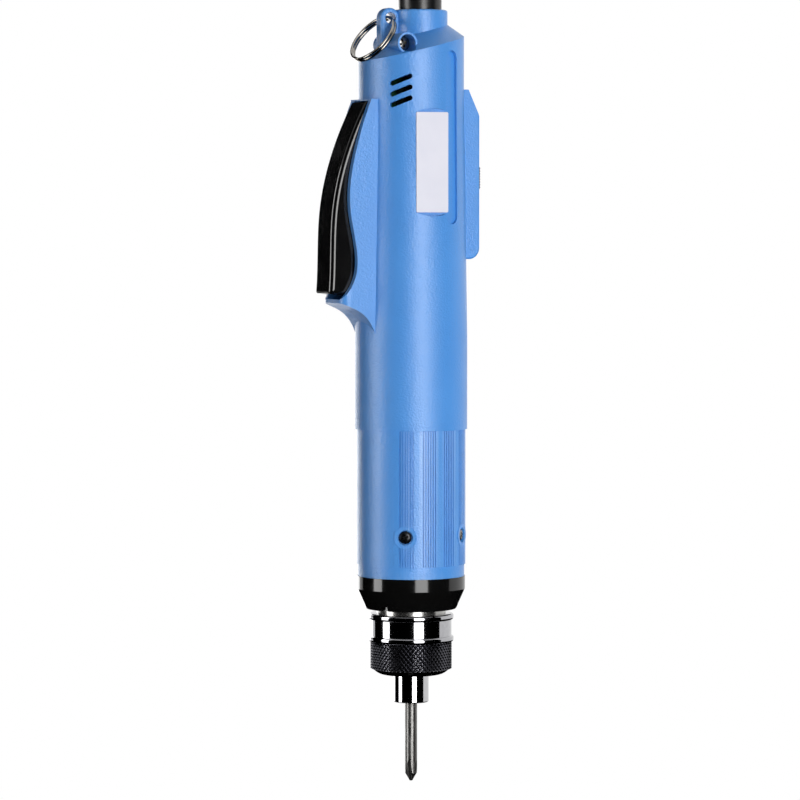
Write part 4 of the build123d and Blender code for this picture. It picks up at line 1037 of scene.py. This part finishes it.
@dataclass
class TorqueRing(SubAssembly):
    """Spool that sets the torque: turned skin with two rounded flanges and a diamond knurl between.

    Attributes:
        low: height of its underside.
        bowl_foot_r: radius where the rounded foot starts.
        bowl_swell: how far the foot bows out, as a share of its length.
        bowl_end: how far inside the knurl's points and below its edge the foot ends.
        edge_break: width and height of the small step from there into the knurl's grooves.
        knurl_low: lower edge of the knurl.
        knurl_high: upper edge of the knurl.
        knurl_r: radius over the knurl's points.
        knurl_depth: depth of the knurl's grooves.
        knurl_pitch: width of one diamond.
        knurl_row: height of one diamond.
        knurl_flat: width of a diamond's flat top, as a share of the diamond.
        flange_r: radius of the flanges.
        flange_round: radius of their rounded rims.
        waist_r: radius between the flanges.
        waist_low: upper side of the lower flange.
        waist_high: underside of the upper flange.
        top: height of its upper side.
        hole_r: hole that the chuck sleeve comes through.
        bore_r: bore that turns on the nose's neck.
        floor: thickness of its floor.
    """

    looks = {BLACK_NICKEL: "torque_ring"}

    low: float = 9.7
    bowl_foot_r: float = 7.0
    bowl_swell: float = 0.16
    bowl_end: tuple[float, float] = (1.0, 0.4)
    edge_break: tuple[float, float] = (0.35, 0.1)
    knurl_low: float = 11.3
    knurl_high: float = 20.3
    knurl_r: float = 13.55
    knurl_depth: float = 0.55
    knurl_pitch: float = 1.5
    knurl_row: float = 1.9
    knurl_flat: float = 0.3
    flange_r: float = 14.2
    flange_round: float = 0.7
    waist_r: float = 13.5
    waist_low: float = 22.3
    waist_high: float = 27.7
    top: float = 29.7
    hole_r: float = 5.96
    bore_r: float = 11.6
    floor: float = 1.8

    def build(self) -> None:
        """Turns the ring, cuts its knurl and lets it ride on its body."""
        valley = self.knurl_r - self.knurl_depth
        foot = (self.bowl_foot_r, self.low)
        end = (self.knurl_r - self.bowl_end[0], self.knurl_low - self.bowl_end[1])
        wide, tall = self.edge_break
        profile = [(self.bore_r, self.top), (self.bore_r, self.low + self.floor)]
        profile += [(self.hole_r, self.low + self.floor), (self.hole_r, self.low), foot]
        profile += arc_points(foot, end, self.bowl_swell, steps=9)
        profile += [(self.knurl_r - wide, self.knurl_low - tall), (valley, self.knurl_low + tall)]
        profile += [(valley, self.knurl_high)]
        profile += round_rim(self.flange_r, self.knurl_high, self.waist_low, self.flange_round)
        profile += [(self.waist_r, self.waist_low), (self.waist_r, self.waist_high)]
        profile += round_rim(self.flange_r, self.waist_high, self.top, self.flange_round)
        profile.append((self.bore_r, self.top))
        ring = turned("torque_ring_skin", profile, steps=192)
        smooth(ring, angle=24.0)
        place_piece(ring, BLACK_NICKEL, "torque_ring", ["torque_ring"])
        self.build_knurl(valley)

    def build_knurl(self, valley: float) -> None:
        """Cuts the diamonds: flat-topped pyramids between two families of slanted grooves.

        Args:
            valley: radius at the bottom of the grooves.
        """
        height = self.knurl_high - self.knurl_low
        count = round(2 * math.pi * self.knurl_r / self.knurl_pitch)
        pitch = 2 * math.pi / count
        rows = max(1, round(height / self.knurl_row))
        row = height / rows
        corners: list[Vector] = []
        faces: list[tuple[int, ...]] = []

        def point(u: float, v: float, high: bool) -> int:
            """Adds one corner of a diamond and gives its number."""
            level = min(max(v, 0.0), rows)
            radius = self.knurl_r if high and level == v else valley
            across, back = radius * math.cos(u * pitch), radius * math.sin(u * pitch)
            corners.append(Vector((across, back, self.knurl_low + level * row)) * MM)
            return len(corners) - 1

        ends = ((-0.5, 0.0), (0.0, -0.5), (0.5, 0.0), (0.0, 0.5))
        flat = self.knurl_flat
        for half_row in range(2 * rows + 1):
            for column in range(count):
                u, v = column + (half_row % 2) / 2, half_row / 2
                outer = [point(u + side, v + up, False) for side, up in ends]
                inner = [point(u + side * flat, v + up * flat, True) for side, up in ends]
                faces.append(tuple(inner))
                for side in range(4):
                    after = (side + 1) % 4
                    faces.append((outer[side], outer[after], inner[after], inner[side]))
        knurl = mesh_object("torque_ring_knurl", corners, faces)
        tidy_mesh(knurl)
        # The knurl takes the darker copy of the ring's nickel, painted shade for the dark reflections in its diamonds.
        place_piece(knurl, KNURL_NICKEL_PAINTED_DARK, "torque_ring", [])


def tidy_mesh(piece: Piece) -> None:
    """Joins doubled corners and drops faces with no area."""
    work = bmesh.new()
    work.from_mesh(piece.data)
    bmesh.ops.remove_doubles(work, verts=work.verts, dist=1e-6)
    bmesh.ops.dissolve_degenerate(work, edges=work.edges, dist=1e-6)
    bmesh.ops.recalc_face_normals(work, faces=work.faces)
    work.to_mesh(piece.data)
    work.free()


def arc_points(
    first: tuple[float, float], last: tuple[float, float], swell: float, steps: int
) -> list[tuple[float, float]]:
    """Points of a bowed line, without its first point.

    Args:
        first: where it starts, as radius and height.
        last: where it ends.
        swell: how far it bows outwards, as a share of its length.
        steps: how many points.

    Returns:
        The points, the last one included.
    """
    along = (last[0] - first[0], last[1] - first[1])
    points = []
    for step in range(1, steps + 1):
        share = step / steps
        bow = 4 * share * (1 - share) * swell
        points.append((first[0] + along[0] * share + along[1] * bow, first[1] + along[1] * share - along[0] * bow))
    return points


def round_rim(radius: float, low: float, high: float, roundness: float) -> list[tuple[float, float]]:
    """The section of a flange with a rounded rim, from its lower face to its upper face.

    Args:
        radius: the flange's outer radius.
        low: the height of its lower face.
        high: the height of its upper face.
        roundness: the rim's radius.

    Returns:
        Points as radius and height.
    """
    points = []
    for first, middle in ((-90, low + roundness), (0, high - roundness)):
        for degrees in range(first, first + 91, 15):
            turn = math.radians(degrees)
            points.append((radius - roundness + roundness * math.cos(turn), middle + roundness * math.sin(turn)))
    return points


def turned(name: str, profile: Sequence[tuple[float, float]], steps: int) -> Piece:
    """Turns an open or closed section round the tool axis.

    Args:
        name: the object's name.
        profile: points as radius and height, in millimetres.
        steps: how many flats go round.

    Returns:
        The turned piece.
    """
    corners, faces = [], []
    for step in range(steps):
        angle = 2 * math.pi * step / steps
        corners += [Vector((r * math.cos(angle), r * math.sin(angle), z)) * MM for r, z in profile]
    length = len(profile)
    for step in range(steps):
        here, there = step * length, (step + 1) % steps * length
        for point in range(length - 1):
            faces.append((here + point, there + point, there + point + 1, here + point + 1))
    piece = mesh_object(name, corners, faces)
    tidy_mesh(piece)
    return piece


@dataclass
class Chuck(SubAssembly):
    """Sleeve, spindle, bit and what locks the bit."""

    looks = {
        BRIGHT_CHROME: "chuck_sleeve",
        GROUND_STEEL: "spindle lock_balls spring_collar",
        SPRING_STEEL: "chuck_spring sleeve_keeper",
        BIT_STEEL: "bit",
    }


@dataclass(frozen=True)
class GivingSpring:
    """A coil spring that is pressed together as a joint moves to its limit.

    Attributes:
        node: the CAD node that it stands for.
        body: the body that carries its fixed end.
        joint: the joint that presses it. Not used.
        axis: the direction that it is pressed along. Not used.
        travel: how far it is pressed, in millimetres. Not used.
    """

    node: str
    body: str
    joint: str
    axis: tuple[float, float, float]
    travel: float

    def build(self, nodes: dict[str, Piece]) -> None:
        """Copies the node's coils and lets them ride on the body of their fixed end.

        Args:
            nodes: the frame's nodes.
        """
        node = nodes[self.node]
        coils = linked(f"{self.node}_coils", node.data.copy())
        place_piece(coils, SPRING_STEEL, self.body, [self.node])
        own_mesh(coils)


SPRINGS = (
    GivingSpring("lever_spring", "housing", "lever_press", (1.0, 0.0, 0.0), 2.6),
    GivingSpring("chuck_spring", "spindle", "chuck_sleeve_lift", (0.0, 0.0, 1.0), 2.55),
)


@dataclass
class Mechanism(SubAssembly):
    """Motor, gear train, clutch and electronics, which the housing hides."""

    looks = {
        GROUND_STEEL: "motor_can rotor front_bearing pinion ring_gear planet_gear_1 planet_gear_2 planet_gear_3 "
        "carrier planet_pins planet_washer output_bearing clutch_case driving_plate clutch_balls driven_plate "
        "thrust_plate",
        SPRING_STEEL: "clutch_spring",
        SCREW_OXIDE_AND_SHADE: "clutch_case_screws",
        ZINC_CASTING: "gear_case",
        SINTERED_BRONZE: "rear_bearing",
        TURNED_COPPER: "commutator",
        FERRITE: "motor_magnets",
        CARBON_BRUSH: "brushes",
        PHENOLIC: "motor_end_cap reversing_switch brake_transistor capacitor cord_terminal",
        BOARD: "circuit_board",
        SENSOR_GLASS: "start_sensor",
    }


def main() -> None:
    """Builds the studio and dresses every sub-assembly in order."""
    logging.basicConfig(level=logging.INFO, format="%(name)s %(message)s")
    for old in list(bpy.data.objects):
        bpy.data.objects.remove(old)
    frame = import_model()
    nodes = frame["nodes"]
    Studio().build()
    housing = Housing()
    housing.dress(nodes)
    housing.build_screws(nodes)
    controls = Controls()
    controls.dress(nodes)
    controls.build_ridges()
    Chuck().dress(nodes)
    Mechanism().dress(nodes)
    ring = TorqueRing()
    ring.dress(nodes)
    ring.build()
    SplitRing().build()
    for spring in SPRINGS:
        spring.build(nodes)


if __name__ == "__main__":
    main()
